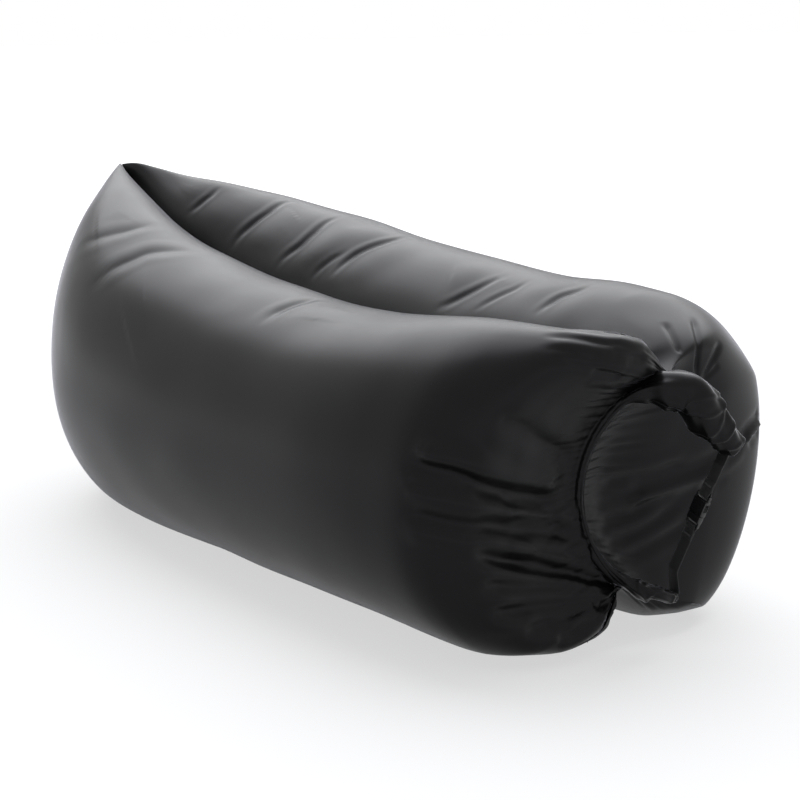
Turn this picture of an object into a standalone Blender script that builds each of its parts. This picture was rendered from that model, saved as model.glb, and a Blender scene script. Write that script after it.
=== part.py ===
"""Inflatable floating sofa: two long air chambers side by side, joined by a seam under the seat.

The head end of each chamber is a closed vertical seam. At the foot end the mouths of both
chambers are gathered, rolled up round a flat batten, and bent into a loop that a webbing strap
with a side-release buckle holds shut. Sizes are in metres and +Z is up. The head lies at -X,
the rolled mouth at +X, the near chamber at -Y and the far chamber at +Y. The sofa stands on
Z = 0, and its origin is the centre of its base.
"""
import math

import bmesh
import bpy
from mathutils import Vector

# Whole sofa
SOFA_LENGTH = 2.0714
CHAMBER_WIDTH = 0.466
ARM_HEIGHT = 0.606

# Fabric skins, air liners and the spaces between them
SKIN_WALL = 0.0009
LINER_WALL = 0.0006
LINER_CLEARANCE = 0.0005
WALL_STRETCH = 1.15
RINGS_PAST_LINER = 4
GATHER_SETBACK = 0.002
GATHERED_SPACE_SHARE = 0.785
PINCH_SHARE = 0.4
CLEARANCE = 0.0003
CHAMBER_SPACING = 0.0028

# One row for each ring of a chamber, from the head seam to where the foot dome starts: place along
# the chamber as a share of BODY_LENGTH, width as a share of CHAMBER_WIDTH, and the heights of top
# and underside as shares of ARM_HEIGHT.
BODY_LENGTH = 1.667
STATION_SHARES = (
    (0.000, 0.020, 1.210, 0.210),
    (0.016, 0.080, 1.217, 0.135),
    (0.052, 0.262, 1.212, 0.060),
    (0.104, 0.485, 1.194, 0.010),
    (0.168, 0.698, 1.170, -0.002),
    (0.245, 0.862, 1.130, -0.014),
    (0.345, 0.964, 1.083, -0.023),
    (0.470, 0.998, 1.033, -0.023),
    (0.600, 1.005, 0.996, -0.023),
    (0.735, 0.997, 0.980, -0.023),
    (0.870, 0.973, 0.986, -0.023),
    (1.000, 0.937, 1.014, -0.024),
)
RING_POINTS = 24
SKIN_SMOOTH_ANGLE = math.radians(40.0)
CONTACT_SHARE = 0.06
HEAD_CONTACT_SHARE = 0.20
HEAD_REACH_SHARE = 0.30
HEAD_LEAN = 0.061

# Foot domes and the neck, where both mouths are gathered on the left of an upright oval loop
LOOP_HALF_WIDTH = 0.140
LOOP_HALF_HEIGHT = 0.199
LOOP_CENTRE_Y = 0.060
LOOP_CENTRE_Z = 0.309
LOOP_FRONT_ALONG = 2.050
LOOP_RECESS = 0.110
LOOP_LOW_SETBACK = 0.030
LOOP_DROOP = 0.042
LOOP_DROOP_START = -0.10
LOOP_DROOP_SPAN = 0.45
NECK_LOW_ANGLE = math.radians(246.0)
NECK_TOP_ANGLE = math.radians(108.0)
NECK_THICKNESS = 0.008
NECK_TIP_BLUNTNESS = 0.30
NECK_END_SHARE = 0.015
NECK_RUN = 0.012
DOME_RINGS = 7
DOME_EASE = 2.0
DOME_REACH = 0.427
DOME_INFLOW = 0.160
DOME_FULLNESS_SHARE = 0.65
DOME_BULGE = -0.050
DOME_SQUARENESS = 2.48
INNER_REACH = 0.158
FOLD_COUNT = 6
FOLD_DEPTH = 0.007

# Rolled mouth: a flattened spiral, wide along X, that runs round the loop
ROLL_LOW_ANGLE = math.radians(258.0)
ROLL_TOP_ANGLE = math.radians(64.0)
ROLL_TURNS = 2.5
ROLL_POINTS_PER_TURN = 10
ROLL_LAYER = 0.0040
ROLL_LAYER_GAP = 0.0008
ROLL_CORE_HALF_WIDTH = 0.0190
ROLL_CORE_HALF_DEPTH = 0.0050
ROLL_STEPS = 22
ROLL_SEAT_GAP = 0.0011
ROLL_END_RUN = 0.006
ROLL_TOP_TELESCOPE = 0.064
ROLL_LOW_TELESCOPE = 0.036
ROLL_SMOOTH_ANGLE = math.radians(50.0)

# Batten in the core of the roll
BATTEN_WIDTH = 0.0355
BATTEN_THICKNESS = 0.0014
BATTEN_INSET = 0.003

# Webbing straps, and the bar tacks sewn through them. Places on a strap are measured along the
# buckle's axis from its middle.
WEBBING_WIDTH = 0.025
WEBBING_THICKNESS = 0.0016
WEBBING_TURN_OUT = 0.010
WEBBING_JOIN = 0.040
WEBBING_TAIL = 0.058
WEBBING_TOP_BEND = 0.092
WEBBING_LOW_BEND = 0.122
FOLD_RADIUS = 0.008
FOLD_STEPS = 4
FOLD_ROOM_SHARE = 0.46
MITRE_LIMIT = 0.5
TACK_PLACE = 0.049
TACK_WIDTH = 0.018
TACK_LENGTH = 0.004
TACK_THICKNESS = 0.0007

# Side-release buckle, measured along its own axis from its middle
BUCKLE_ALONG = 2.0157
BUCKLE_Y = 0.0985
BUCKLE_Z = 0.267
BUCKLE_TILT = math.radians(12.66)
BUCKLE_LEAN = math.radians(16.5)
BUCKLE_WIDTH = 0.034
BUCKLE_THICKNESS = 0.0116
BUCKLE_LENGTH = 0.062
BUCKLE_EDGE = 0.0012
SOCKET_LENGTH = 0.039
SOCKET_WALL = 0.0022
SOCKET_FACE = 0.0020
SOCKET_DEPTH = 0.027
WINDOW_START = 0.010
WINDOW_LENGTH = 0.014
TONGUE_WIDTH = 0.033
TONGUE_THICKNESS = 0.0100
BAR_LENGTH = 0.0032
BAR_THICKNESS = 0.0052
BAR_STEP = 0.0102
SLOT_LENGTH = 0.0056
SLOT_WIDTH = 0.0265
GUIDE_WIDTH = 0.0052
GUIDE_THICKNESS = 0.0048
GUIDE_TOP = 0.0160
ARM_THICKNESS = 0.0068
ARM_INSIDE = 0.0085
ARM_OUTSIDE = 0.0132
ARM_TIP_OUTSIDE = 0.0120
ARM_FOOT = -0.0079
ARM_TIP = 0.0151
LATCH_OUTSIDE = 0.0165
LATCH_START = 0.0031
LATCH_END = 0.0089
PIVOT_INSET = 0.0003

# Seam tape between the chambers, and binding over the closed head seams
SEAM_TAPE_HEIGHT = 0.040
SEAM_TAPE_START_SHARE = 0.20
SEAM_TAPE_END_SHARE = 0.95
SEAM_TAPE_HEIGHT_SHARE = 0.52
BINDING_THICKNESS = 0.0018
BINDING_SPARE = 0.0006

ROLL_PITCH = ROLL_LAYER + ROLL_LAYER_GAP
ROLL_HALF_WIDTH = ROLL_CORE_HALF_WIDTH + ROLL_PITCH * ROLL_TURNS + ROLL_LAYER
BUCKLE_TOP = BUCKLE_LENGTH / 2
SOCKET_MOUTH = BUCKLE_TOP - SOCKET_LENGTH
TONGUE_TOP = SOCKET_MOUTH - CLEARANCE


def clear_scene():
    for old in list(bpy.data.objects):
        bpy.data.objects.remove(old, do_unlink=True)


def material(name, colour, roughness, metallic=0.0):
    """A Principled material in one colour."""
    result = bpy.data.materials.new(name)
    result.use_nodes = True
    shader = result.node_tree.nodes["Principled BSDF"]
    shader.inputs["Base Color"].default_value = (*colour, 1.0)
    shader.inputs["Roughness"].default_value = roughness
    shader.inputs["Metallic"].default_value = metallic
    return result


def add_object(name, bm, finish, smooth_angle=None):
    """Turn a bmesh into a named object with its own finish."""
    mesh = bpy.data.meshes.new(name)
    bm.to_mesh(mesh)
    bm.free()
    if smooth_angle is not None:
        mesh.shade_smooth()
        mesh.set_sharp_from_angle(angle=smooth_angle)
    mesh.materials.append(finish)
    result = bpy.data.objects.new(name, mesh)
    bpy.context.scene.collection.objects.link(result)
    return result


def turned_out(bm):
    """Make every face of a closed shape look outward."""
    bmesh.ops.recalc_face_normals(bm, faces=bm.faces)
    if bm.calc_volume(signed=True) < 0:
        bmesh.ops.reverse_faces(bm, faces=bm.faces)


def mix(low, high, share):
    return low + (high - low) * share


def signed_power(value, power):
    return math.copysign(abs(value) ** power, value)


def along(distance):
    """X of a place that lies a distance from the head seam's top."""
    return distance - SOFA_LENGTH / 2


def on_loop(angle, depth):
    """The roll's middle line at an angle round the loop, moved out from its centre by a depth."""
    behind = LOOP_RECESS * (0.5 - 0.5 * math.cos(angle)) ** 2
    below = LOOP_LOW_SETBACK * (0.5 - 0.5 * math.sin(angle))
    droop = min(max((math.cos(angle) - LOOP_DROOP_START) / LOOP_DROOP_SPAN, 0.0), 1.0)
    droop = LOOP_DROOP * droop * droop * (3.0 - 2.0 * droop)
    return Vector((
        along(LOOP_FRONT_ALONG - behind - below),
        LOOP_CENTRE_Y + (LOOP_HALF_WIDTH + depth) * math.cos(angle),
        LOOP_CENTRE_Z + (LOOP_HALF_HEIGHT + depth) * math.sin(angle) - droop,
    ))


# Air chambers

def body_ring(row, side):
    """One D-shaped ring of a chamber: flat on its neighbour and on the ground, round elsewhere."""
    place, width_share, top_share, under_share = row
    head_share = max(0.0, 1.0 - place / HEAD_REACH_SHARE)
    contact = CONTACT_SHARE + HEAD_CONTACT_SHARE * head_share
    width = CHAMBER_WIDTH * width_share
    top, under = ARM_HEIGHT * top_share, ARM_HEIGHT * under_share
    ring = []
    for k in range(RING_POINTS):
        turn = 2 * math.pi * k / RING_POINTS
        outward = width * max(0.0, (0.5 + 0.5 * math.cos(turn)) * (1 + contact) - contact)
        lift = math.sin(turn)
        height = max(0.0, mix(under, top, 0.5 + 0.5 * lift))
        lean = HEAD_LEAN * head_share * (0.5 - 0.5 * lift)
        ring.append(Vector((
            along(BODY_LENGTH * place + lean),
            side * (CHAMBER_SPACING / 2 + outward),
            height,
        )))
    return ring


def neck_ring(side, ahead):
    """The chamber's flattened mouth, a distance ahead of where the fabric is gathered."""
    quarter = RING_POINTS // 4
    ring = []
    for k in range(RING_POINTS):
        turn = 2 * math.pi * k / RING_POINTS
        level = min((quarter - k) % RING_POINTS, (k - quarter) % RING_POINTS)
        share = mix(1.0 - NECK_END_SHARE, NECK_END_SHARE, (level - 1) / (2 * quarter - 2))
        share = share if 0 < level < 2 * quarter else float(level == 0)
        lens = signed_power(math.cos(turn), NECK_TIP_BLUNTNESS)
        depth = CLEARANCE / 2 + NECK_THICKNESS * (0.5 + 0.5 * lens)
        point = on_loop(mix(NECK_LOW_ANGLE, NECK_TOP_ANGLE, share), -side * depth)
        point.x += ahead - NECK_RUN - ROLL_SEAT_GAP - ROLL_HALF_WIDTH
        ring.append(point)
    return ring


def bezier(points, t):
    a, b, c, d = points
    return a * (1 - t) ** 3 + b * 3 * t * (1 - t) ** 2 + c * 3 * t * t * (1 - t) + d * t ** 3


def dome_rings(last_body_ring, side):
    """Rings over the foot dome: out along the chamber, then in to the neck, with gathered folds."""
    gathered = neck_ring(side, 0.0)
    rings = []
    for step in range(1, DOME_RINGS + 1):
        t = 1.0 - (1.0 - step / DOME_RINGS) ** DOME_EASE
        ring = []
        for k, (start, end) in enumerate(zip(last_body_ring, gathered)):
            turn = 2 * math.pi * k / RING_POINTS
            outer_share = 1.0 - (0.5 - 0.5 * math.cos(turn)) ** DOME_SQUARENESS
            away = Vector((0.0, start.y - end.y, start.z - end.z))
            inflow = away.normalized() * min(DOME_INFLOW, away.length * DOME_FULLNESS_SHARE) * outer_share
            inflow.x = mix(-INNER_REACH, DOME_BULGE, outer_share)
            onward = Vector((mix(INNER_REACH, DOME_REACH, outer_share), 0.0, 0.0))
            point = bezier((start, start + onward, end + inflow, end), t)
            fold = FOLD_DEPTH * math.sin(math.pi * t) * math.cos(FOLD_COUNT * turn)
            point.x += fold * max(0.0, math.cos(turn))
            point.z = max(0.0, point.z)
            ring.append(point)
        rings.append(ring)
    rings.append(neck_ring(side, NECK_RUN))
    return rings


def chamber_rings(side):
    rings = [body_ring(row, side) for row in STATION_SHARES]
    return rings + dome_rings(rings[-1], side)


def add_sheet(bm, rings, outward):
    """Faces between rings, with the first ring closed along its seam. Returns the last ring."""
    rows = [[bm.verts.new(point) for point in ring] for ring in rings]
    count = RING_POINTS
    for row, following in zip(rows, rows[1:]):
        for k in range(count):
            j = (k + 1) % count
            add_triangles(bm, (row[k], row[j], following[j], following[k]), outward)
    first, top = rows[0], count // 4
    for level in range(count // 2):
        upper = (first[top - level], first[(top + level) % count])
        lower = (first[top - level - 1], first[(top + level + 1) % count])
        add_seam_faces(bm, upper, lower, outward)
    return rows[-1]


def add_triangles(bm, quad, outward):
    """Two triangles over a quad, cut along the same diagonal whichever way it faces."""
    a, b, c, d = quad
    for corners in ((a, b, c), (a, c, d)):
        bm.faces.new(corners if outward else corners[::-1])


def add_seam_faces(bm, upper, lower, outward):
    """Close the slit between the two sides of a seam, down from one level to the next."""
    corners = list(dict.fromkeys((upper[1], upper[0], lower[0], lower[1])))
    if len(corners) == 4:
        add_triangles(bm, corners, outward)
    else:
        bm.faces.new(corners if outward else corners[::-1])


def outer_normals(rings):
    """The outward direction at each point of the rings, lengthened so that walls stay even."""
    bm = bmesh.new()
    add_sheet(bm, rings, True)
    bmesh.ops.recalc_face_normals(bm, faces=bm.faces)
    bm.normal_update()
    bm.verts.index_update()
    vectors = [v.normal * min(WALL_STRETCH, v.calc_shell_factor()) for v in bm.verts]
    middle = sum((v.co for v in bm.verts), Vector()) / len(bm.verts)
    if sum(n.dot(v.co - middle) for n, v in zip(vectors, bm.verts)) < 0:
        vectors = [-n for n in vectors]
    bm.free()
    return [vectors[i * RING_POINTS:(i + 1) * RING_POINTS] for i in range(len(rings))]


def moved_in(rings, normals, depth):
    """The rings, moved in from the outer skin by a depth."""
    return [
        [point - normal * depth for point, normal in zip(ring, row)]
        for ring, row in zip(rings, normals)
    ]


def drawn_together(ring):
    """The inner face of a gathered ring: thicker fabric all round, drawn in at both pinched ends."""
    top = RING_POINTS // 4
    opposite = [(2 * top - k) % RING_POINTS for k in range(RING_POINTS)]
    middles = [(ring[top - n] + ring[(top + n) % RING_POINTS]) / 2 for n in range(2 * top + 1)]
    result = []
    for k, point in enumerate(ring):
        level = min((top - k) % RING_POINTS, (k - top) % RING_POINTS)
        place = min(max(level, PINCH_SHARE), 2 * top - PINCH_SHARE)
        low = min(int(place), 2 * top - 1)
        middle = middles[low].lerp(middles[low + 1], place - low)
        half = (point - ring[opposite[k]]) / 2
        result.append(middle + half * GATHERED_SPACE_SHARE)
    return result


def air_skin(name, outside, inside, side, finish):
    """A thin walled bag, closed at the head seam and open at its mouth."""
    bm = bmesh.new()
    outward = side > 0
    outer_mouth = add_sheet(bm, outside, outward)
    inner_mouth = add_sheet(bm, inside, not outward)
    for k in range(RING_POINTS):
        j = (k + 1) % RING_POINTS
        quad = (outer_mouth[k], outer_mouth[j], inner_mouth[j], inner_mouth[k])
        add_triangles(bm, quad, outward)
    return add_object(name, bm, finish, SKIN_SMOOTH_ANGLE)


def build_chamber(label, side, fabric, film):
    """A fabric skin and the air liner inside it."""
    rings = chamber_rings(side)
    normals = outer_normals(rings)
    inside = moved_in(rings, normals, SKIN_WALL)
    inside[-1] = drawn_together(rings[-1])
    inside[-2] = drawn_together(rings[-2])
    for k, point in enumerate(inside[-2]):
        point.x -= GATHER_SETBACK * max(0.0, math.cos(2 * math.pi * k / RING_POINTS))
    air_skin(label + "_chamber", rings, inside, side, fabric)
    liner = moved_in(rings, normals, SKIN_WALL + LINER_CLEARANCE)[1:-RINGS_PAST_LINER]
    inside = moved_in(liner, outer_normals(liner), LINER_WALL)
    air_skin(label + "_liner", liner, inside, side, film)


# Seams

def build_head_binding(label, side, finish):
    """Folded tape over the closed head seam of one chamber."""
    seam = body_ring(STATION_SHARES[0], side)
    quarter = RING_POINTS // 4
    bm = bmesh.new()
    rows = []
    for k in range(1, 2 * quarter):
        first = seam[(quarter - k) % RING_POINTS]
        second = seam[(quarter + k) % RING_POINTS]
        low = min(abs(first.y), abs(second.y))
        high = max(abs(first.y), abs(second.y)) + BINDING_SPARE
        back = first.x - CLEARANCE
        front = back - BINDING_THICKNESS
        rows.append([bm.verts.new((x, side * y, first.z)) for x, y in (
            (front, low), (back, low), (back, high), (front, high))])
    for row, following in zip(rows, rows[1:]):
        for k in range(4):
            j = (k + 1) % 4
            bm.faces.new((row[k], row[j], following[j], following[k]))
    bm.faces.new(rows[0])
    bm.faces.new(rows[-1])
    turned_out(bm)
    return add_object(label + "_head_binding", bm, finish)


def build_seam_tape(finish):
    """The tape that joins the two chambers, between their flat inner walls."""
    start = along(BODY_LENGTH * SEAM_TAPE_START_SHARE)
    end = along(BODY_LENGTH * SEAM_TAPE_END_SHARE)
    size = (end - start, CHAMBER_SPACING - 2 * CLEARANCE, SEAM_TAPE_HEIGHT)
    middle = ((start + end) / 2, 0.0, ARM_HEIGHT * SEAM_TAPE_HEIGHT_SHARE)
    bm = bmesh.new()
    bmesh.ops.create_cube(bm, size=1.0)
    bmesh.ops.scale(bm, vec=size, verts=bm.verts)
    bmesh.ops.translate(bm, vec=middle, verts=bm.verts)
    return add_object("centre_seam_tape", bm, finish)


# Rolled mouth

def roll_point(angle, across, depth, run_on=0.0):
    """A point of the roll: across lies along X, depth away from the loop's centre.

    run_on goes straight on from the angle, toward the roll's top end where it is positive.
    """
    onward = Vector((
        0.0,
        LOOP_HALF_WIDTH * math.sin(angle),
        -LOOP_HALF_HEIGHT * math.cos(angle),
    )).normalized()
    return on_loop(angle, depth) + Vector((across, 0.0, 0.0)) + onward * run_on


def roll_rows(outline):
    """Copies of a cross-section along the roll. The outline's points carry how far they run on."""
    last = ROLL_STEPS
    angles = [mix(ROLL_LOW_ANGLE, ROLL_TOP_ANGLE, step / last) for step in range(last + 1)]
    rows = [[roll_point(angle, across, depth) for across, depth, _, _ in outline] for angle in angles]
    low = [roll_point(angles[0], across, depth, -run) for across, depth, run, _ in outline]
    top = [roll_point(angles[-1], across, depth, run) for across, depth, _, run in outline]
    return [low] + rows + [top]


def roll_outline():
    """The spiral's inner face going out, then its outer face coming back."""
    count = round(ROLL_TURNS * ROLL_POINTS_PER_TURN)
    inner, outer = [], []
    for k in range(count + 1):
        turn = k / ROLL_POINTS_PER_TURN
        direction = 2 * math.pi * turn
        drawn_out = 1.0 - turn / ROLL_TURNS
        low_run = ROLL_END_RUN + ROLL_LOW_TELESCOPE * drawn_out
        top_run = ROLL_END_RUN + ROLL_TOP_TELESCOPE * drawn_out
        for layer, face in ((0.0, inner), (ROLL_LAYER, outer)):
            across = (ROLL_CORE_HALF_WIDTH + ROLL_PITCH * turn + layer) * math.cos(direction)
            depth = (ROLL_CORE_HALF_DEPTH + ROLL_PITCH * turn + layer) * math.sin(direction)
            face.append((across, depth, low_run, top_run))
    return inner + outer[::-1]


def swept(name, rows, end_faces, finish, smooth_angle=None):
    """A closed solid over rows of points, with the faces that close its two ends."""
    bm = bmesh.new()
    corners = [[bm.verts.new(point) for point in row] for row in rows]
    count = len(rows[0])
    for row, following in zip(corners, corners[1:]):
        for k in range(count):
            j = (k + 1) % count
            bm.faces.new((row[k], row[j], following[j], following[k]))
    for row in (corners[0], corners[-1]):
        for face in end_faces:
            bm.faces.new([row[k] for k in face])
    turned_out(bm)
    bmesh.ops.triangulate(bm, faces=bm.faces)
    return add_object(name, bm, finish, smooth_angle)


def build_roll(finish):
    """The mouths of both chambers, rolled up and bent round, with the inner turns drawn out."""
    outline = roll_outline()
    last = len(outline) - 1
    ends = [(k, k + 1, last - k - 1, last - k) for k in range(len(outline) // 2 - 1)]
    return swept("mouth_roll", roll_rows(outline), ends, finish, ROLL_SMOOTH_ANGLE)


def build_batten(finish):
    """The flat strip in the roll's core, which follows the roll's whole length."""
    low_run = ROLL_END_RUN + ROLL_LOW_TELESCOPE - BATTEN_INSET
    top_run = ROLL_END_RUN + ROLL_TOP_TELESCOPE - BATTEN_INSET
    half_width, half_depth = BATTEN_WIDTH / 2, BATTEN_THICKNESS / 2
    outline = [
        (across * half_width, depth * half_depth, low_run, top_run)
        for across, depth in ((-1, -1), (1, -1), (1, 1), (-1, 1))
    ]
    return swept("mouth_batten", roll_rows(outline), [(0, 1, 2, 3)], finish)


# Buckle

def buckle_axes():
    """Directions across the buckle, up its axis and out of its back face."""
    tilt_sine, tilt_cosine = math.sin(BUCKLE_TILT), math.cos(BUCKLE_TILT)
    lean_sine, lean_cosine = math.sin(BUCKLE_LEAN), math.cos(BUCKLE_LEAN)
    across = Vector((lean_cosine, -lean_sine * tilt_sine, -lean_sine * tilt_cosine))
    up = Vector((lean_sine, lean_cosine * tilt_sine, lean_cosine * tilt_cosine))
    back = Vector((0.0, tilt_cosine, -tilt_sine))
    return across, up, back


def buckle_point(across, up, back):
    """A place on the buckle, measured from its middle."""
    directions = buckle_axes()
    middle = Vector((along(BUCKLE_ALONG), BUCKLE_Y, BUCKLE_Z))
    steps = (direction * size for direction, size in zip(directions, (across, up, back)))
    return middle + sum(steps, Vector())


def block(bm, low, high):
    """A box between two corners, each given as across, up and back."""
    middle = [(a + b) / 2 for a, b in zip(low, high)]
    size = [b - a for a, b in zip(low, high)]
    made = bmesh.ops.create_cube(bm, size=1.0)["verts"]
    bmesh.ops.scale(bm, vec=size, verts=made)
    bmesh.ops.translate(bm, vec=middle, verts=made)
    return made


def chamfered(bm, low, high):
    """A box whose edges are cut off, for an outside that fingers touch."""
    made = block(bm, low, high)
    edges = list({edge for vert in made for edge in vert.link_edges})
    bmesh.ops.bevel(
        bm, geom=edges, offset=BUCKLE_EDGE, segments=1, affect="EDGES", profile=0.5)


def helper(name, bm):
    """A shape that only cuts or adds to another one."""
    mesh = bpy.data.meshes.new(name)
    turned_out(bm)
    bm.to_mesh(mesh)
    bm.free()
    result = bpy.data.objects.new(name, mesh)
    bpy.context.scene.collection.objects.link(result)
    return result


def carved(name, body, added, cut_away, finish):
    """A body with boxes added to it and boxes cut out of it, set in place on the strap line."""
    base = helper(name + "_blank", body)
    tools = []
    for operation, boxes in (("UNION", added), ("DIFFERENCE", cut_away)):
        for low, high in boxes:
            bm = bmesh.new()
            block(bm, low, high)
            tool = helper(name + "_tool", bm)
            change = base.modifiers.new(name + "_change", "BOOLEAN")
            change.operation = operation
            change.solver = "EXACT"
            change.object = tool
            tools.append(tool)
    evaluated = base.evaluated_get(bpy.context.evaluated_depsgraph_get())
    bm = bmesh.new()
    bm.from_mesh(evaluated.to_mesh())
    for vert in bm.verts:
        vert.co = buckle_point(*vert.co)
    turned_out(bm)
    bmesh.ops.triangulate(bm, faces=bm.faces)
    for spent in tools + [base]:
        bpy.data.objects.remove(spent, do_unlink=True)
    return add_object(name, bm, finish)


def mirrored_boxes(boxes):
    """The boxes, and the same boxes on the other side across."""
    others = [((-high[0], *low[1:]), (-low[0], *high[1:])) for low, high in boxes]
    return list(boxes) + others


def bar_cuts(toward, outside):
    """The webbing slot and the steps that leave a thin bar at one end: up is 1, down is -1."""
    inner_edge = BUCKLE_TOP - BAR_LENGTH
    spans = (
        (inner_edge - SLOT_LENGTH, inner_edge, SLOT_WIDTH / 2),
        (BUCKLE_TOP - BAR_STEP, BUCKLE_TOP + outside, outside),
    )
    (slot_start, slot_end, slot_half), (step_start, step_end, step_half) = spans
    slot = sorted((toward * slot_start, toward * slot_end))
    step = sorted((toward * step_start, toward * step_end))
    half_bar = BAR_THICKNESS / 2
    return [
        ((-slot_half, slot[0], -outside), (slot_half, slot[1], outside)),
        ((-step_half, step[0], half_bar), (step_half, step[1], outside)),
        ((-step_half, step[0], -outside), (step_half, step[1], -half_bar)),
    ]


def build_socket(finish):
    """The socket: a flat sleeve with a window in each side and a bar for the upper strap."""
    half_width, half_depth = BUCKLE_WIDTH / 2, BUCKLE_THICKNESS / 2
    room, face = half_width - SOCKET_WALL, half_depth - SOCKET_FACE
    body = bmesh.new()
    chamfered(body, (-half_width, SOCKET_MOUTH, -half_depth), (half_width, BUCKLE_TOP, half_depth))
    window = SOCKET_MOUTH + WINDOW_START
    cavity = ((-room, SOCKET_MOUTH - SOCKET_WALL, -face), (room, SOCKET_MOUTH + SOCKET_DEPTH, face))
    side = ((room - SOCKET_WALL, window, -face), (BUCKLE_WIDTH, window + WINDOW_LENGTH, face))
    cuts = [cavity] + mirrored_boxes([side]) + bar_cuts(1, BUCKLE_WIDTH)
    return carved("buckle_socket", body, [], cuts, finish)


def build_tongue(finish):
    """The tongue: a base with a bar for the lower strap, and the guide between the latch arms."""
    half_width, half_depth = TONGUE_WIDTH / 2, TONGUE_THICKNESS / 2
    body = bmesh.new()
    chamfered(body, (-half_width, -BUCKLE_TOP, -half_depth), (half_width, TONGUE_TOP, half_depth))
    half_guide, half_thickness = GUIDE_WIDTH / 2, GUIDE_THICKNESS / 2
    guide = (
        (-half_guide, TONGUE_TOP - BUCKLE_EDGE, -half_thickness),
        (half_guide, GUIDE_TOP, half_thickness),
    )
    return carved("buckle_tongue", body, [guide], bar_cuts(-1, BUCKLE_WIDTH), finish)


def arm_pivot(side):
    return buckle_point(side * (ARM_INSIDE + PIVOT_INSET), ARM_FOOT + PIVOT_INSET, 0.0)


def build_arm(label, side, finish):
    """One latch arm, with its shoulder in the socket's window. Its origin is on its hinge."""
    profile = (
        (ARM_INSIDE, ARM_FOOT),
        (ARM_OUTSIDE, ARM_FOOT),
        (ARM_OUTSIDE, LATCH_START),
        (LATCH_OUTSIDE, LATCH_START),
        (LATCH_OUTSIDE, LATCH_END),
        (ARM_TIP_OUTSIDE, ARM_TIP),
        (ARM_INSIDE, ARM_TIP),
    )
    pivot = arm_pivot(side)
    rows = [
        [buckle_point(side * across, up, back) - pivot for across, up in profile]
        for back in (-ARM_THICKNESS / 2, ARM_THICKNESS / 2)
    ]
    arm = swept(label + "_latch_arm", rows, [range(len(profile))], finish)
    arm.location = pivot
    return arm


# Webbing

def rounded_path(corners):
    """Places and width directions along the corners, with each inner corner rounded."""
    path = [corners[0]]
    for (before, _), (corner, width), (after, _) in zip(corners, corners[1:], corners[2:]):
        back, onward = before - corner, after - corner
        half_angle = back.angle(onward) / 2
        room = min(back.length, onward.length) * FOLD_ROOM_SHARE
        cut = min(room, FOLD_RADIUS / math.tan(half_angle))
        start, end = corner + back.normalized() * cut, corner + onward.normalized() * cut
        for step in range(FOLD_STEPS + 1):
            t = step / FOLD_STEPS
            path.append((start * (1 - t) ** 2 + corner * 2 * t * (1 - t) + end * t * t, width))
    return path + [corners[-1]]


def build_strap(label, roll_angle, run_out, toward, bend, finish):
    """Webbing from the roll's core, out past its end, to a bar of the buckle and back on itself."""
    way = math.copysign(1.0, run_out)
    depth = -(BATTEN_THICKNESS + WEBBING_THICKNESS) / 2 - 2 * CLEARANCE
    flat = Vector((1.0, 0.0, 0.0))
    root = [
        (roll_point(roll_angle, 0.0, depth, way * ROLL_END_RUN), flat),
        (roll_point(roll_angle, 0.0, depth, run_out + way * WEBBING_TURN_OUT), flat),
    ]
    lying = WEBBING_THICKNESS / 2 + CLEARANCE
    round_bar = BAR_THICKNESS / 2 + lying + CLEARANCE
    turn = BUCKLE_TOP - BAR_LENGTH - lying - 2 * CLEARANCE
    loop = (
        (bend, lying),
        (WEBBING_JOIN, lying),
        (BUCKLE_TOP, round_bar),
        (turn, round_bar),
        (turn, -round_bar),
        (BUCKLE_TOP, -round_bar),
        (WEBBING_JOIN, -lying),
        (WEBBING_TAIL, -lying),
    )
    across = buckle_axes()[0]
    corners = root + [(buckle_point(0.0, toward * up, back), across) for up, back in loop]
    rows = []
    path = rounded_path(corners)
    for k, (place, width) in enumerate(path):
        before, after = path[max(k - 1, 0)][0], path[min(k + 1, len(path) - 1)][0]
        heading = (after - before).normalized()
        into = (place - before).normalized() if k else heading
        mitre = max(MITRE_LIMIT, into.dot(heading))
        thick = heading.cross(width).normalized() * WEBBING_THICKNESS / 2 / mitre
        wide = width * WEBBING_WIDTH / 2
        rows.append([place - wide - thick, place + wide - thick,
                     place + wide + thick, place - wide + thick])
    return swept(label + "_strap", rows, [(0, 1, 2, 3)], finish)


def build_tack(label, toward, finish):
    """The bar of stitches that closes a strap's loop, on the outer face of its tail."""
    near = -(WEBBING_THICKNESS + 2 * CLEARANCE)
    bm = bmesh.new()
    block(
        bm,
        (-TACK_WIDTH / 2, toward * TACK_PLACE - TACK_LENGTH / 2, near - TACK_THICKNESS),
        (TACK_WIDTH / 2, toward * TACK_PLACE + TACK_LENGTH / 2, near),
    )
    for vert in bm.verts:
        vert.co = buckle_point(*vert.co)
    turned_out(bm)
    bmesh.ops.triangulate(bm, faces=bm.faces)
    return add_object(label + "_bar_tack", bm, finish)


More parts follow.
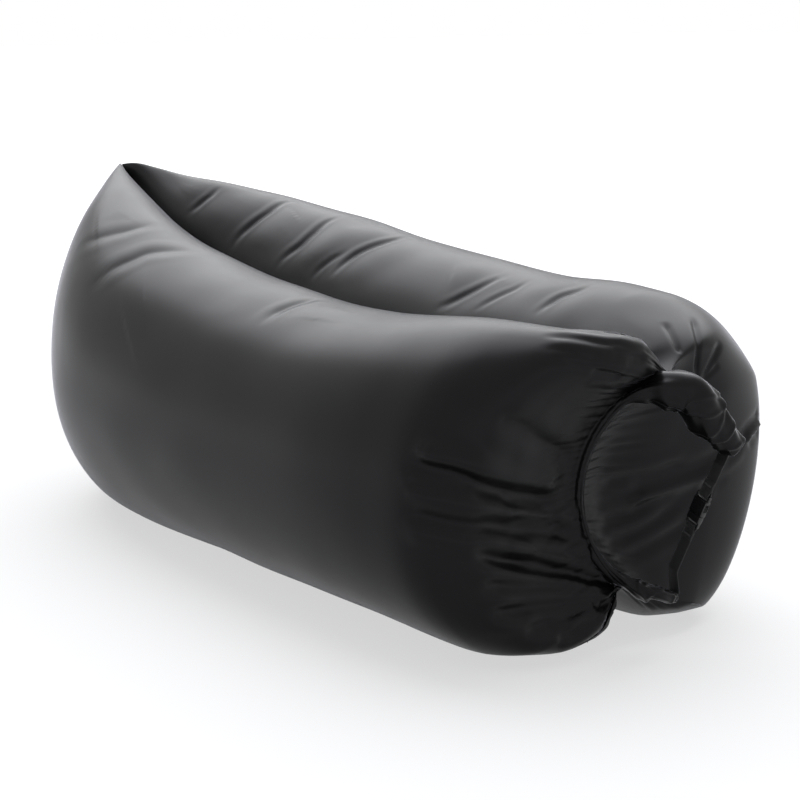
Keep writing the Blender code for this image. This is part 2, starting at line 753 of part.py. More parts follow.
def main():
    clear_scene()
    fabric = {
        "near": material("near_chamber_fabric", (0.022, 0.022, 0.024), 0.46),
        "far": material("far_chamber_fabric", (0.022, 0.022, 0.024), 0.46),
    }
    for label, side in (("near", -1), ("far", 1)):
        film = material(label + "_liner_film", (0.62, 0.64, 0.66), 0.30)
        build_chamber(label, side, fabric[label], film)
        binding = material(label + "_head_binding_tape", (0.030, 0.030, 0.032), 0.60)
        build_head_binding(label, side, binding)
    build_seam_tape(material("centre_seam_tape_weave", (0.030, 0.030, 0.032), 0.60))
    build_roll(material("mouth_roll_fabric", (0.024, 0.024, 0.026), 0.46))
    build_batten(material("mouth_batten_plastic", (0.05, 0.05, 0.05), 0.40))
    build_socket(material("buckle_socket_plastic", (0.015, 0.015, 0.016), 0.28))
    build_tongue(material("buckle_tongue_plastic", (0.015, 0.015, 0.016), 0.28))
    for label, side in (("outer", 1), ("inner", -1)):
        build_arm(label, side, material(label + "_latch_arm_plastic", (0.015, 0.015, 0.016), 0.28))
    top_run = ROLL_END_RUN + ROLL_TOP_TELESCOPE
    low_run = -(ROLL_END_RUN + ROLL_LOW_TELESCOPE)
    for label, angle, run_out, toward, bend in (
        ("upper", ROLL_TOP_ANGLE, top_run, 1, WEBBING_TOP_BEND),
        ("lower", ROLL_LOW_ANGLE, low_run, -1, WEBBING_LOW_BEND),
    ):
        weave = material(label + "_strap_webbing", (0.018, 0.018, 0.019), 0.70)
        build_strap(label, angle, run_out, toward, bend, weave)
        build_tack(label, toward, material(label + "_bar_tack_thread", (0.03, 0.03, 0.03), 0.70))


main()
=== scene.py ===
# %% [markdown]
# # An inflatable floating sofa
# Two long air chambers of black nylon lie side by side. Their feet run together into one mouth,
# which is rolled up, bent round and buckled shut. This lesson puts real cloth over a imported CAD
# model: the chambers get their creases and gathers, the roll its layers and the straps a weave.
# Lengths are in metres, and the angles in the tables are in degrees.

import math

import bmesh
import bpy
import numpy as np
from mathutils import Matrix, Vector


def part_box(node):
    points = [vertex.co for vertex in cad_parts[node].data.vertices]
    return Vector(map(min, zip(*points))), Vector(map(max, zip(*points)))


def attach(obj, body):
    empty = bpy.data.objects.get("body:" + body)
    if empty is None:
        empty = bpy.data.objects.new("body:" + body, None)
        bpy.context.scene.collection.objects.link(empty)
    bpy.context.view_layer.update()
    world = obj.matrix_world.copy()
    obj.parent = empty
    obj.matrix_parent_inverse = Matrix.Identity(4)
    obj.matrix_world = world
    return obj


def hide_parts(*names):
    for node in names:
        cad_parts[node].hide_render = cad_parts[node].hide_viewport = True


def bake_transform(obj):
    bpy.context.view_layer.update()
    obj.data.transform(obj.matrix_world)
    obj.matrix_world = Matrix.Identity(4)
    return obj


def placed(name, data):
    """A new object in the scene, which shows this mesh, camera or lamp."""
    result = bpy.data.objects.new(name, data)
    bpy.context.scene.collection.objects.link(result)
    return result


def mesh_from(bm, name):
    """A new mesh that takes over what was built with bmesh."""
    mesh = bpy.data.meshes.new(name)
    bm.to_mesh(mesh)
    bm.free()
    return mesh


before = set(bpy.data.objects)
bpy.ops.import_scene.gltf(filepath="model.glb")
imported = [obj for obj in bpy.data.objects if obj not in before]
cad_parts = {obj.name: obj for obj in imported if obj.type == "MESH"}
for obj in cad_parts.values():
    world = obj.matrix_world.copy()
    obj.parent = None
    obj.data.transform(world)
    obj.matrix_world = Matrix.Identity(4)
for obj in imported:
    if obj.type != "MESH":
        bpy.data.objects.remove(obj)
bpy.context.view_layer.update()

# %% [markdown]
# The camera stands four metres away with a long lens, a little above the sofa, and sees its foot
# and its near flank. A long lens keeps the far end from shrinking too much.

# %% Camera
CAMERA_TURN = math.radians(55.272)
CAMERA_RISE = math.radians(11.884)
CAMERA_DISTANCE = 4.115
CAMERA_LENS, SENSOR_WIDTH = 90.1425, 36.0
LOOK_AT = Vector((0.1933, 0.0, 0.341))
away = Vector((
    math.sin(CAMERA_TURN) * math.cos(CAMERA_RISE),
    -math.cos(CAMERA_TURN) * math.cos(CAMERA_RISE),
    math.sin(CAMERA_RISE),
))
camera_data = bpy.data.cameras.new("camera")
camera_data.sensor_width = SENSOR_WIDTH
camera_data.lens = CAMERA_LENS
camera = placed("camera", camera_data)
camera.location = LOOK_AT + away * CAMERA_DISTANCE
camera.rotation_euler = away.to_track_quat("Z", "Y").to_euler()
bpy.context.scene.camera = camera
print("camera at", [round(c, 3) for c in camera.location])

# %% [markdown]
# A pale floor, an even sky and one wide soft lamp overhead are enough for dark cloth. Nylon this
# dark shows its form by how its slopes catch the light, so most of it comes from above, as on an
# overcast day. The floor looks white to the camera and still takes the sofa's shadow.

# %% Floor, sky and lamp
FLOOR_HALF_WIDTH, FLOOR_DROP, FLOOR_GREY = 30.0, 0.0015, 0.34
FLOOR_FADE = (1.6, 4.5)
FLOOR_GLOW = (0.62, 1.0)
SKY_LIGHT = (0.02, 0.50)
SKY_TOP = 0.9


def combined(nodes, links, operation, first, second):
    """The result of a maths node over two values."""
    node = nodes.new("ShaderNodeMath")
    node.operation = operation
    links.new(first, node.inputs[0])
    links.new(second, node.inputs[1])
    return node.outputs[0]


def eased_range(nodes, links, source, between, to):
    """Goes smoothly from one value to another, while the source runs between two others."""
    node = nodes.new("ShaderNodeMapRange")
    node.interpolation_type = "SMOOTHSTEP"
    node.inputs["From Min"].default_value, node.inputs["From Max"].default_value = between
    node.inputs["To Min"].default_value, node.inputs["To Max"].default_value = to
    links.new(source, node.inputs["Value"])
    return node.outputs["Result"]


def white_to_the_eye(nodes, links):
    """1 for rays that show a background, straight or in a gloss, and 0 for those that light."""
    path = nodes.new("ShaderNodeLightPath")
    total = path.outputs["Is Camera Ray"]
    for kind in ("Is Glossy Ray", "Is Transmission Ray"):
        total = combined(nodes, links, "MAXIMUM", total, path.outputs[kind])
    return total


def studio_floor():
    bm = bmesh.new()
    bmesh.ops.create_grid(bm, x_segments=1, y_segments=1, size=FLOOR_HALF_WIDTH)
    result = placed("floor", mesh_from(bm, "floor"))
    result.location.z = -FLOOR_DROP
    return result


def floor_paint():
    """A pale floor that fades to plain white away from the sofa."""
    paint = bpy.data.materials.new("floor_paint")
    paint.use_nodes = True
    nodes, links = paint.node_tree.nodes, paint.node_tree.links
    shader = nodes["Principled BSDF"]
    shader.inputs["Base Color"].default_value = (FLOOR_GREY, FLOOR_GREY, FLOOR_GREY, 1.0)
    shader.inputs["Roughness"].default_value = 0.9
    shader.inputs["Specular IOR Level"].default_value = 0.1
    shader.inputs["Emission Color"].default_value = (1.0, 1.0, 1.0, 1.0)
    from_middle = nodes.new("ShaderNodeVectorMath")
    from_middle.operation = "LENGTH"
    links.new(nodes.new("ShaderNodeTexCoord").outputs["Object"], from_middle.inputs[0])
    fade = eased_range(nodes, links, from_middle.outputs["Value"], FLOOR_FADE, FLOOR_GLOW)
    lift = combined(nodes, links, "MULTIPLY", fade, white_to_the_eye(nodes, links))
    links.new(lift, shader.inputs["Emission Strength"])
    return paint


def sky():
    """White where it is seen. As light it is bright overhead and dim toward the horizon."""
    world = bpy.data.worlds.new("sky")
    bpy.context.scene.world = world
    world.use_nodes = True
    nodes, links = world.node_tree.nodes, world.node_tree.links
    nodes.clear()
    out = nodes.new("ShaderNodeOutputWorld")
    seen = nodes.new("ShaderNodeBackground")
    seen.inputs["Color"].default_value = (1.0, 1.0, 1.0, 1.0)
    seen.inputs["Strength"].default_value = 1.0
    lighting = nodes.new("ShaderNodeBackground")
    lighting.inputs["Color"].default_value = (0.92, 0.95, 1.0, 1.0)
    direction = nodes.new("ShaderNodeTexCoord")
    parts = nodes.new("ShaderNodeSeparateXYZ")
    links.new(direction.outputs["Generated"], parts.inputs[0])
    height = eased_range(nodes, links, parts.outputs["Z"], (0.0, SKY_TOP), SKY_LIGHT)
    links.new(height, lighting.inputs["Strength"])
    chooser = nodes.new("ShaderNodeMixShader")
    links.new(white_to_the_eye(nodes, links), chooser.inputs["Fac"])
    links.new(lighting.outputs[0], chooser.inputs[1])
    links.new(seen.outputs[0], chooser.inputs[2])
    links.new(chooser.outputs[0], out.inputs["Surface"])


def wide_lamp(name, toward, strength, spread, colour):
    """A lamp as wide as a patch of sky, whose light is even all over the floor."""
    lamp = bpy.data.lights.new(name, "SUN")
    lamp.energy = strength
    lamp.angle = math.radians(spread)
    lamp.color = colour
    placed(name, lamp).rotation_euler = Vector(toward).to_track_quat("Z", "Y").to_euler()


floor = studio_floor()
floor.data.materials.append(floor_paint())
sky()
wide_lamp("overhead", (-0.60, 0.40, 1.0), 3.6, 75.0, (0.97, 0.98, 1.0))
bpy.context.scene.view_settings.view_transform = "Standard"
print("floor, sky and one overhead lamp are ready")

# %% [markdown]
# A chamber is one tube of cloth. It starts as a flat seam at the head, swells to a D that leans
# on its neighbour and on the ground, domes over at the foot, and is gathered into a flat mouth.
# The rings below are the CAD part's own, so that the cloth lies where the solid does. Only the
# last two are a little wider. Each row holds shares: the place along the body, the width, and the
# heights of top and underside. A separate search fitted them to the photographed outline, and they
# were then smoothed.

# %% Rings of a chamber
TAU = 2.0 * math.pi
HEAD_X = -2.0714 / 2
TUBE_WIDTH = 0.466
TUBE_HEIGHT = 0.606
TUBE_BODY = 1.667
HALF_GAP = 0.0014
HEAD_SHARE, HEAD_LEAN = 0.30, 0.061
FLOOR_BEND, CONTACT_BEND = 0.004, 0.012
STATIONS = (
    (0.000, 0.020, 1.210, 0.210),
    (0.016, 0.080, 1.217, 0.135),
    (0.052, 0.262, 1.212, 0.060),
    (0.104, 0.485, 1.194, 0.010),
    (0.168, 0.698, 1.170, -0.002),
    (0.245, 0.862, 1.130, -0.014),
    (0.345, 0.964, 1.083, -0.023),
    (0.470, 0.998, 1.033, -0.023),
    (0.600, 1.005, 0.996, -0.023),
    (0.735, 0.997, 0.980, -0.023),
    (0.870, 0.985, 0.986, -0.023),
    (1.000, 0.972, 1.014, -0.024),
)


def unit(vectors):
    """The same directions, one long."""
    return vectors / np.maximum(np.linalg.norm(vectors, axis=-1, keepdims=True), 1e-12)


def eased_floor(values, softness):
    """Values with everything below zero lifted to it, round a soft bend."""
    return 0.5 * (values + np.sqrt(values * values + softness * softness))


def body_ring(row, turn, side):
    """One D-shaped ring: turn 0 is the outer flank, a quarter turn the top."""
    place, width, top, under = row
    head = max(0.0, 1.0 - place / HEAD_SHARE)
    contact = 0.06 + 0.20 * head
    outward = eased_floor((0.5 + 0.5 * np.cos(turn)) * (1 + contact) - contact, CONTACT_BEND)
    lift = 0.5 + 0.5 * np.sin(turn)
    height = TUBE_HEIGHT * (under + (top - under) * lift)
    return np.stack([
        HEAD_X + TUBE_BODY * place + HEAD_LEAN * head * (1.0 - lift),
        side * (HALF_GAP + TUBE_WIDTH * width * outward),
        eased_floor(height, FLOOR_BEND),
    ], axis=-1)


print("a ring has", body_ring(STATIONS[5], np.linspace(0, TAU, 5), -1).shape[0] - 1, "test points")

# %% [markdown]
# At the foot both mouths share one long slit, which runs up the left of the buckled loop. Curves
# that leave each tube straight ahead and turn in to that slit give the round foot. The loop
# itself is an oval that leans back on its left, where the two tubes hold it.

# %% The loop, the slit and the domes
LOOP_HALF_WIDTH = 0.140
LOOP_HALF_HEIGHT = 0.199
LOOP_MIDDLE = (0.060, 0.309)
LOOP_FRONT = HEAD_X + 2.050
LOOP_LEAN_BACK, LOOP_FOOT_BACK = 0.110, 0.030
LOOP_DROOP, DROOP_START, DROOP_SPAN = 0.042, -0.10, 0.45
MOUTH_BACK, MOUTH_INSIDE_ROLL = 0.028, 0.012
MOUTH_HALF_GAP, MOUTH_THICKNESS, MOUTH_BLUNTNESS = 0.00015, 0.008, 0.30
SLIT_LOW, SLIT_TOP = 246.0, 95.0
FRONT_RUN, FLANK_RUN, SLIT_RUN, FLANK_PULL = 0.158, 0.427, 0.160, 0.05
DOME_STEPS, DOME_EASE, DOME_SQUARENESS, DOME_FULLNESS = 7, 2.0, 2.48, 0.65


def smooth_step(value):
    """Zero up to 0, one from 1 on, and an even bend in between."""
    value = np.clip(value, 0.0, 1.0)
    return value * value * (3.0 - 2.0 * value)


def on_loop(angle, depth):
    """Middle line of the rolled mouth, moved out from the loop's centre by a depth."""
    behind = LOOP_LEAN_BACK * (0.5 - 0.5 * np.cos(angle)) ** 2
    below = LOOP_FOOT_BACK * (0.5 - 0.5 * np.sin(angle))
    droop = LOOP_DROOP * smooth_step((np.cos(angle) - DROOP_START) / DROOP_SPAN)
    return np.stack([
        LOOP_FRONT - behind - below,
        LOOP_MIDDLE[0] + (LOOP_HALF_WIDTH + depth) * np.cos(angle),
        LOOP_MIDDLE[1] + (LOOP_HALF_HEIGHT + depth) * np.sin(angle) - droop,
    ], axis=-1)


def slit_ring(turn, side, ahead):
    """The flat mouth of a tube, a distance ahead of where it is gathered."""
    level = np.abs((turn - math.pi / 2 + math.pi) % TAU - math.pi) / (TAU / 24)
    share = np.interp(level, (0, 1, 11, 12), (1.0, 0.985, 0.015, 0.0))
    lens = np.sign(np.cos(turn)) * np.abs(np.cos(turn)) ** MOUTH_BLUNTNESS
    depth = MOUTH_HALF_GAP + MOUTH_THICKNESS * (0.5 + 0.5 * lens)
    angle = np.radians(SLIT_LOW + (SLIT_TOP - SLIT_LOW) * share)
    ring = on_loop(angle, -side * depth)
    ring[:, 0] += ahead - MOUTH_BACK
    return ring


def dome_ring(last, gathered, turn, step):
    """A ring part of the way round the dome. Step runs from 0 on the tube to 1 at the slit."""
    t = 1.0 - (1.0 - step) ** DOME_EASE
    outer = (1.0 - (0.5 - 0.5 * np.cos(turn)) ** DOME_SQUARENESS)[:, None]
    apart = (last - gathered) * np.array((0.0, 1.0, 1.0))
    reach = np.linalg.norm(apart, axis=1, keepdims=True)
    pull = np.minimum(SLIT_RUN, reach * DOME_FULLNESS)
    inflow = apart / np.maximum(reach, 1e-9) * pull * outer
    inflow[:, :1] = -FRONT_RUN + (FRONT_RUN - FLANK_PULL) * outer
    onward = (FRONT_RUN + (FLANK_RUN - FRONT_RUN) * outer) * np.array((1.0, 0.0, 0.0))
    a, b, c, d = last, last + onward, gathered + inflow, gathered
    ring = a * (1 - t) ** 3 + b * 3 * t * (1 - t) ** 2 + c * 3 * t * t * (1 - t) + d * t ** 3
    ring[:, 2] = eased_floor(ring[:, 2], FLOOR_BEND)
    return ring


def tube_rings(turn, side):
    """All the rings from the head seam to the rolled mouth."""
    rings = [body_ring(row, turn, side) for row in STATIONS]
    gathered = slit_ring(turn, side, 0.0)
    last = rings[-1]
    rings += [
        dome_ring(last, gathered, turn, step / DOME_STEPS) for step in range(1, DOME_STEPS + 1)]
    return rings + [slit_ring(turn, side, MOUTH_INSIDE_ROLL)]


print("rings from head to mouth:", len(tube_rings(np.linspace(0, TAU, 9), -1)))

# %% [markdown]
# The rings become cloth on a fine grid, whose rows follow smooth curves through the rings. The
# grid's long edges meet along the outer flank and are welded. Its two ends are pressed flat, one
# as the sewn head seam and one inside the roll, so that the tube is closed. Cloth sizes go into
# a UV map, which the weave follows later.

# %% From rings to a fine grid
ROWS, COLUMNS = 540, 288
BODY_END, SLIT_RING, LAST_RING = 11.0, 18.9, 19.0
turns = np.linspace(0.0, TAU, COLUMNS + 1)


def smooth_rows(rings, rows):
    """Rows on curves through the rings, and how far down the list of rings each row lies."""
    rings = np.array(rings)
    steps = np.quantile(np.linalg.norm(np.diff(rings, axis=0), axis=2), 0.85, axis=1)
    knots = np.concatenate([[0.0], np.cumsum(steps)])
    slopes = np.diff(rings, axis=0) / steps[:, None, None]
    middle = (slopes[:-1] * steps[1:, None, None] + slopes[1:] * steps[:-1, None, None])
    middle /= (steps[1:] + steps[:-1])[:, None, None]
    tangents = np.concatenate([slopes[:1], middle, slopes[-1:]])
    places = np.linspace(0.0, knots[-1], rows + 1)
    span = np.clip(np.searchsorted(knots, places, side="right") - 1, 0, len(steps) - 1)
    width = steps[span]
    s = ((places - knots[span]) / width)[:, None, None]
    width = width[:, None, None]
    start, end = rings[span], rings[span + 1]
    cloth = (
        start * (2 * s ** 3 - 3 * s ** 2 + 1) + tangents[span] * width * (s ** 3 - 2 * s ** 2 + s)
        + end * (3 * s ** 2 - 2 * s ** 3) + tangents[span + 1] * width * (s ** 3 - s ** 2)
    )
    return cloth, span + s[:, 0, 0], places


def pressed_flat(row):
    """A ring with its two sides brought together at the same level."""
    facing = (COLUMNS // 2 - np.arange(COLUMNS + 1)) % COLUMNS
    return (row + row[facing]) / 2


def outward_normals(cloth, side):
    """The outward direction at each point of the grid."""
    along = np.gradient(cloth, axis=0)
    ring = np.concatenate([cloth[:, -2:-1], cloth, cloth[:, 1:2]], axis=1)
    around = (ring[:, 2:] - ring[:, :-2]) / 2
    return unit(np.cross(around, along) * side)


tubes = {}
for label, side in (("near", -1), ("far", 1)):
    cloth, place, distance = smooth_rows(tube_rings(turns, side), ROWS)
    tubes[label] = (cloth, place, distance, side)
    print(label, "tube: cloth", cloth.shape, "length", round(float(distance[-1]), 3))
cloth, place, distance, side = tubes["near"]
check = outward_normals(cloth, side)
print("near flank faces", check[250, 0].round(2), "and the top", check[250, COLUMNS // 4].round(2))

# %% [markdown]
# No blown up bag is the same on both sides. The near tube has sunk a little and the far one stands
# prouder, and both round off at the foot. A few wide bands, each at a level round the tube, move
# the cloth out or in along its length. They fade out at the slit and where the tubes touch. The
# width is evened out first, and the tubes close up above the tape that parts them.

# %% Swells and hollows
BAND_EASE, WIDTH_EASE = 0.06, 0.10
TAPE_TOP, TAPE_START, TAPE_HALF = 0.345, 0.30, 0.0012
BANDS = {
    "near": (
        (88, 42, ((0.30, 0.0), (0.75, -0.013), (1.05, -0.015), (1.30, -0.017), (1.55, -0.024),
                  (1.80, -0.021), (2.00, -0.003), (2.12, 0.014), (2.22, 0.042), (2.32, 0.042))),
        (290, 38, ((0.60, 0.0), (0.90, -0.007), (1.20, -0.018), (1.50, -0.022), (1.80, -0.027),
                   (2.00, -0.020), (2.12, 0.0))),
        (252, 32, ((2.00, 0.0), (2.12, 0.014), (2.22, 0.050), (2.32, 0.050))),
        (5, 60, ((1.70, 0.0), (1.88, -0.008), (2.04, -0.030), (2.18, -0.008), (2.30, 0.004))),
    ),
    "far": (
        (85, 42, ((0.05, 0.0), (0.30, -0.013), (0.60, 0.0), (0.90, 0.020), (1.15, 0.023),
                  (1.40, 0.022), (1.65, 0.008), (1.90, 0.0), (2.10, -0.008), (2.30, -0.022))),
        (330, 60, ((1.80, 0.0), (2.05, -0.014), (2.20, -0.030), (2.32, -0.020))),
    ),
}


def averaged(distance, values, reach):
    """Each value averaged with those that lie within about a reach along the tube."""
    spread = np.exp(-((distance[:, None] - distance[None, :]) / reach) ** 2)
    return ((spread @ values).T / spread.sum(axis=1)).T


def eased_run(distance, profile):
    """Heights along a tube through a few (metres, height) points, with the corners rounded."""
    metres, heights = zip(*profile)
    return averaged(distance, np.interp(distance, metres, heights), BAND_EASE)


def swollen(tube, bands):
    cloth, place, distance, side = tube
    slit = cloth[int(np.searchsorted(place, SLIT_RING))]
    free = 1.0 - np.exp(-(np.linalg.norm(cloth - slit[None], axis=2) / 0.05) ** 2)
    in_body = (place < BODY_END)[:, None]
    free *= np.where(in_body, smooth_step((np.abs(cloth[..., 1]) - 0.003) / 0.05), 1.0)
    free *= smooth_step(distance / 0.05)[:, None]
    height = np.zeros(cloth.shape[:2])
    for middle, reach, profile in bands:
        off = (np.degrees(turns) - middle + 180.0) % 360.0 - 180.0
        height += eased_run(distance, profile)[:, None] * np.exp(-(off / reach) ** 2)[None, :]
    moved = cloth + outward_normals(cloth, side) * (height * free)[..., None]
    moved[..., 2] = np.maximum(moved[..., 2], 0.0)
    return moved, place, distance, side


def fair_run(tube, first, last):
    """Evens out the width along a tube, so that none of its rings shows in the gloss."""
    cloth, place, distance, side = tube
    even = averaged(distance, cloth[..., 1], WIDTH_EASE)
    share = smooth_step((distance - first) / 0.15) * smooth_step((last - distance) / 0.15)
    cloth[..., 1] += (even - cloth[..., 1]) * share[:, None]


def closed_valley(tube):
    """Lets the tubes lean on each other at the head and above the seam tape, which parts them."""
    cloth, place, distance, side = tube
    touching = smooth_step((0.012 - side * cloth[..., 1]) / 0.008) * (place < BODY_END)[:, None]
    past_tape = np.maximum(
        smooth_step((cloth[..., 2] - TAPE_TOP) / 0.03),
        smooth_step((TAPE_START - distance) / 0.03)[:, None])
    cloth[..., 1] -= side * TAPE_HALF * touching * past_tape


for label in tubes:
    fair_run(tubes[label], first=0.20, last=2.0)
    tubes[label] = swollen(tubes[label], BANDS[label])
    closed_valley(tubes[label])
    print(label, "tube's lowest corner is now", tubes[label][0].reshape(-1, 3).min(0).round(3))

# %% [markdown]
# Above the roll, the far dome's cloth comes from the top and from the front and would meet in a
# sharp ledge. Real cloth is pulled even there by the air inside. Averaging each point of a patch
# with its neighbours, many times over, does the same, and it fades out at the patch's edges.

# %% Evening out a patch of cloth
def ironed(cloth, first_row, last_row, first_degree, last_degree, rounds):
    rows = np.arange(first_row, last_row)[:, None]
    columns = np.arange(
        int(first_degree / 360.0 * COLUMNS), int(last_degree / 360.0 * COLUMNS))[None, :]
    share_down = (rows - rows[0]) / (rows[-1] - rows[0])
    share_round = (columns - columns[0, 0]) / (columns[0, -1] - columns[0, 0])
    weight = smooth_step(share_down / 0.3) * smooth_step((1.0 - share_down) / 0.06)
    weight = weight * smooth_step(share_round / 0.25) * smooth_step((1.0 - share_round) / 0.25)
    for _ in range(rounds):
        patch = cloth[rows, columns]
        beside = (cloth[rows - 1, columns] + cloth[rows + 1, columns]
                  + cloth[rows, columns - 1] + cloth[rows, columns + 1]) / 4
        cloth[rows, columns] = patch + (beside - patch) * weight[..., None]


ironed(
    tubes["far"][0], first_row=ROWS - 130, last_row=ROWS - 8, first_degree=30, last_degree=118,
    rounds=500)
print("the patch above the roll is even")

# %% [markdown]
# Taut cloth folds in two ways here. Long single folds run where the tubes are pulled or bent, and
# short pleats crowd round the slit, where wide cloth is gathered into a narrow mouth. Both are
# pressed into the grid as real relief. A fold's line is given on the cloth itself, as metres from
# the head and degrees round the tube, so that it stays on the cloth wherever the cloth goes. A
# ray, a fold that looks straight, is given by its two ends in space instead.

# %% Pressing a fold
LINE_POINTS, LINE_ROUNDING = 64, 10
RAY_REACH = 0.10
TUBE_RADIUS = 0.3


def on_cloth(cloth, distance, metres, degrees):
    """The points of the grid's surface at cloth places."""
    row = np.interp(metres, distance, np.arange(len(distance)))
    column = (np.asarray(degrees) % 360.0) / 360.0 * COLUMNS
    r0 = np.minimum(row.astype(int), len(distance) - 2)
    c0 = np.minimum(column.astype(int), COLUMNS - 1)
    r, c = (row - r0)[:, None], (column - c0)[:, None]
    low = cloth[r0, c0] * (1 - c) + cloth[r0, c0 + 1] * c
    high = cloth[r0 + 1, c0] * (1 - c) + cloth[r0 + 1, c0 + 1] * c
    return low * (1 - r) + high * r


def drawn_line(points):
    """Even places on a bend through a few (metres, degrees) points."""
    points = np.array(points, float)
    sizes = np.diff(points, axis=0) * (1.0, math.radians(1.0) * TUBE_RADIUS)
    at = np.concatenate([[0.0], np.cumsum(np.linalg.norm(sizes, axis=1))])
    even = np.linspace(0.0, at[-1], LINE_POINTS)
    line = np.stack([np.interp(even, at, points[:, k]) for k in (0, 1)], axis=1)
    for _ in range(LINE_ROUNDING):
        line[1:-1] = (line[:-2] + 2 * line[1:-1] + line[2:]) / 4
    return line


def fold_shape(x, lean):
    """A narrow valley between two soft shoulders, tipped to one side by lean."""
    valley = -np.exp(-np.abs(x) ** 1.4)
    shoulders = 0.45 * (np.exp(-((x - 2.1) / 1.3) ** 2) + np.exp(-((x + 2.1) / 1.3) ** 2))
    return valley + shoulders + lean * x * np.exp(0.5 - 0.5 * x * x)


def press_fold(tube, relief, points, width, depth, lean, ends):
    """Add one long fold to the relief of a tube. It fades over a share of its line at each end."""
    cloth, place, distance, side = tube
    line = drawn_line(points)
    spots = on_cloth(cloth, distance, line[:, 0], line[:, 1])
    heading = unit(np.gradient(spots, axis=0))
    reach = 5.0 * width
    near = np.all((cloth > spots.min(0) - reach) & (cloth < spots.max(0) + reach), axis=2)
    rows, columns = np.nonzero(near)
    points_near = cloth[rows, columns]
    off = points_near[:, None, :] - spots[None, :, :]
    nearest = np.argmin((off ** 2).sum(2), axis=1)
    off = off[np.arange(len(nearest)), nearest]
    normals = outward_normals(cloth, side)[rows, columns]
    across = (np.cross(normals, heading[nearest]) * off).sum(1)
    total = np.linalg.norm(off, axis=1)
    s = nearest / (LINE_POINTS - 1.0)
    shown = smooth_step(s / ends[0]) * smooth_step((1.0 - s) / ends[1])
    shown *= smooth_step((reach - total) / (2.0 * width))
    relief[rows, columns] += depth * shown * fold_shape(across / width, lean)


def press_ray(tube, relief, width, depth, lean, outer, inner):
    """Add a fold that looks straight from the camera and narrows toward its inner end."""
    cloth, place, distance, side = tube
    outer, inner = np.array(outer), np.array(inner)
    length = np.linalg.norm(inner - outer)
    heading = (inner - outer) / length
    off = cloth - outer
    s = off @ heading / length
    total = np.linalg.norm(off - np.clip(s, 0.0, 1.0)[..., None] * length * heading, axis=2)
    aside = unit(np.cross(np.array(away), heading))
    x = off @ aside / (width * (1.0 - 0.45 * np.clip(s, 0.0, 1.0)))
    shown = smooth_step(s / 0.30) * smooth_step((1.10 - s) / 0.15)
    shown *= smooth_step((RAY_REACH - total) / 0.02)
    relief += depth * shown * (lean * x - 1.0) * np.exp(-x * x)


# %% [markdown]
# The pleats follow the grid's own lines, because those run together at the slit as the threads
# of the real cloth do. Each pleat starts at the slit, has its own length, depth and drift, and
# widens on its way out, because the lines spread.

# %% Pleats round the slit
PLEAT_START, PLEAT_DRIFT = 9.5, 12.0


def press_pleats(tube, relief, seed, pleats):
    cloth, place, distance, side = tube
    chance = np.random.default_rng(seed)
    slit_row = int(np.searchsorted(place, SLIT_RING))
    rows = np.arange(int(np.searchsorted(place, PLEAT_START)), len(place))
    reach = np.linalg.norm(cloth[rows] - cloth[slit_row][None], axis=2)
    reach[rows >= slit_row] = 0.0
    for start, end, count, length, depth in pleats:
        spots = np.linspace(start, end, count, endpoint=False)
        spots += chance.uniform(0.15, 0.85, count) * (end - start) / count
        for spot in spots:
            half = abs(end - start) / count * chance.uniform(0.16, 0.34)
            long = length * chance.uniform(0.45, 1.25)
            deep = depth * chance.uniform(0.5, 1.2)
            drift = chance.uniform(-1.0, 1.0) * PLEAT_DRIFT
            lean = chance.uniform(-0.4, 0.4)
            x = (np.degrees(turns)[None, :] - spot - drift * reach / 0.3 + 180.0) % 360.0 - 180.0
            shown = (1.0 - np.exp(-reach / 0.010)) * smooth_step(1.0 - reach / long)
            relief[rows] += deep * shown * fold_shape(x / half, lean)


print("folds and pleats can be pressed into", len(tubes), "tubes")
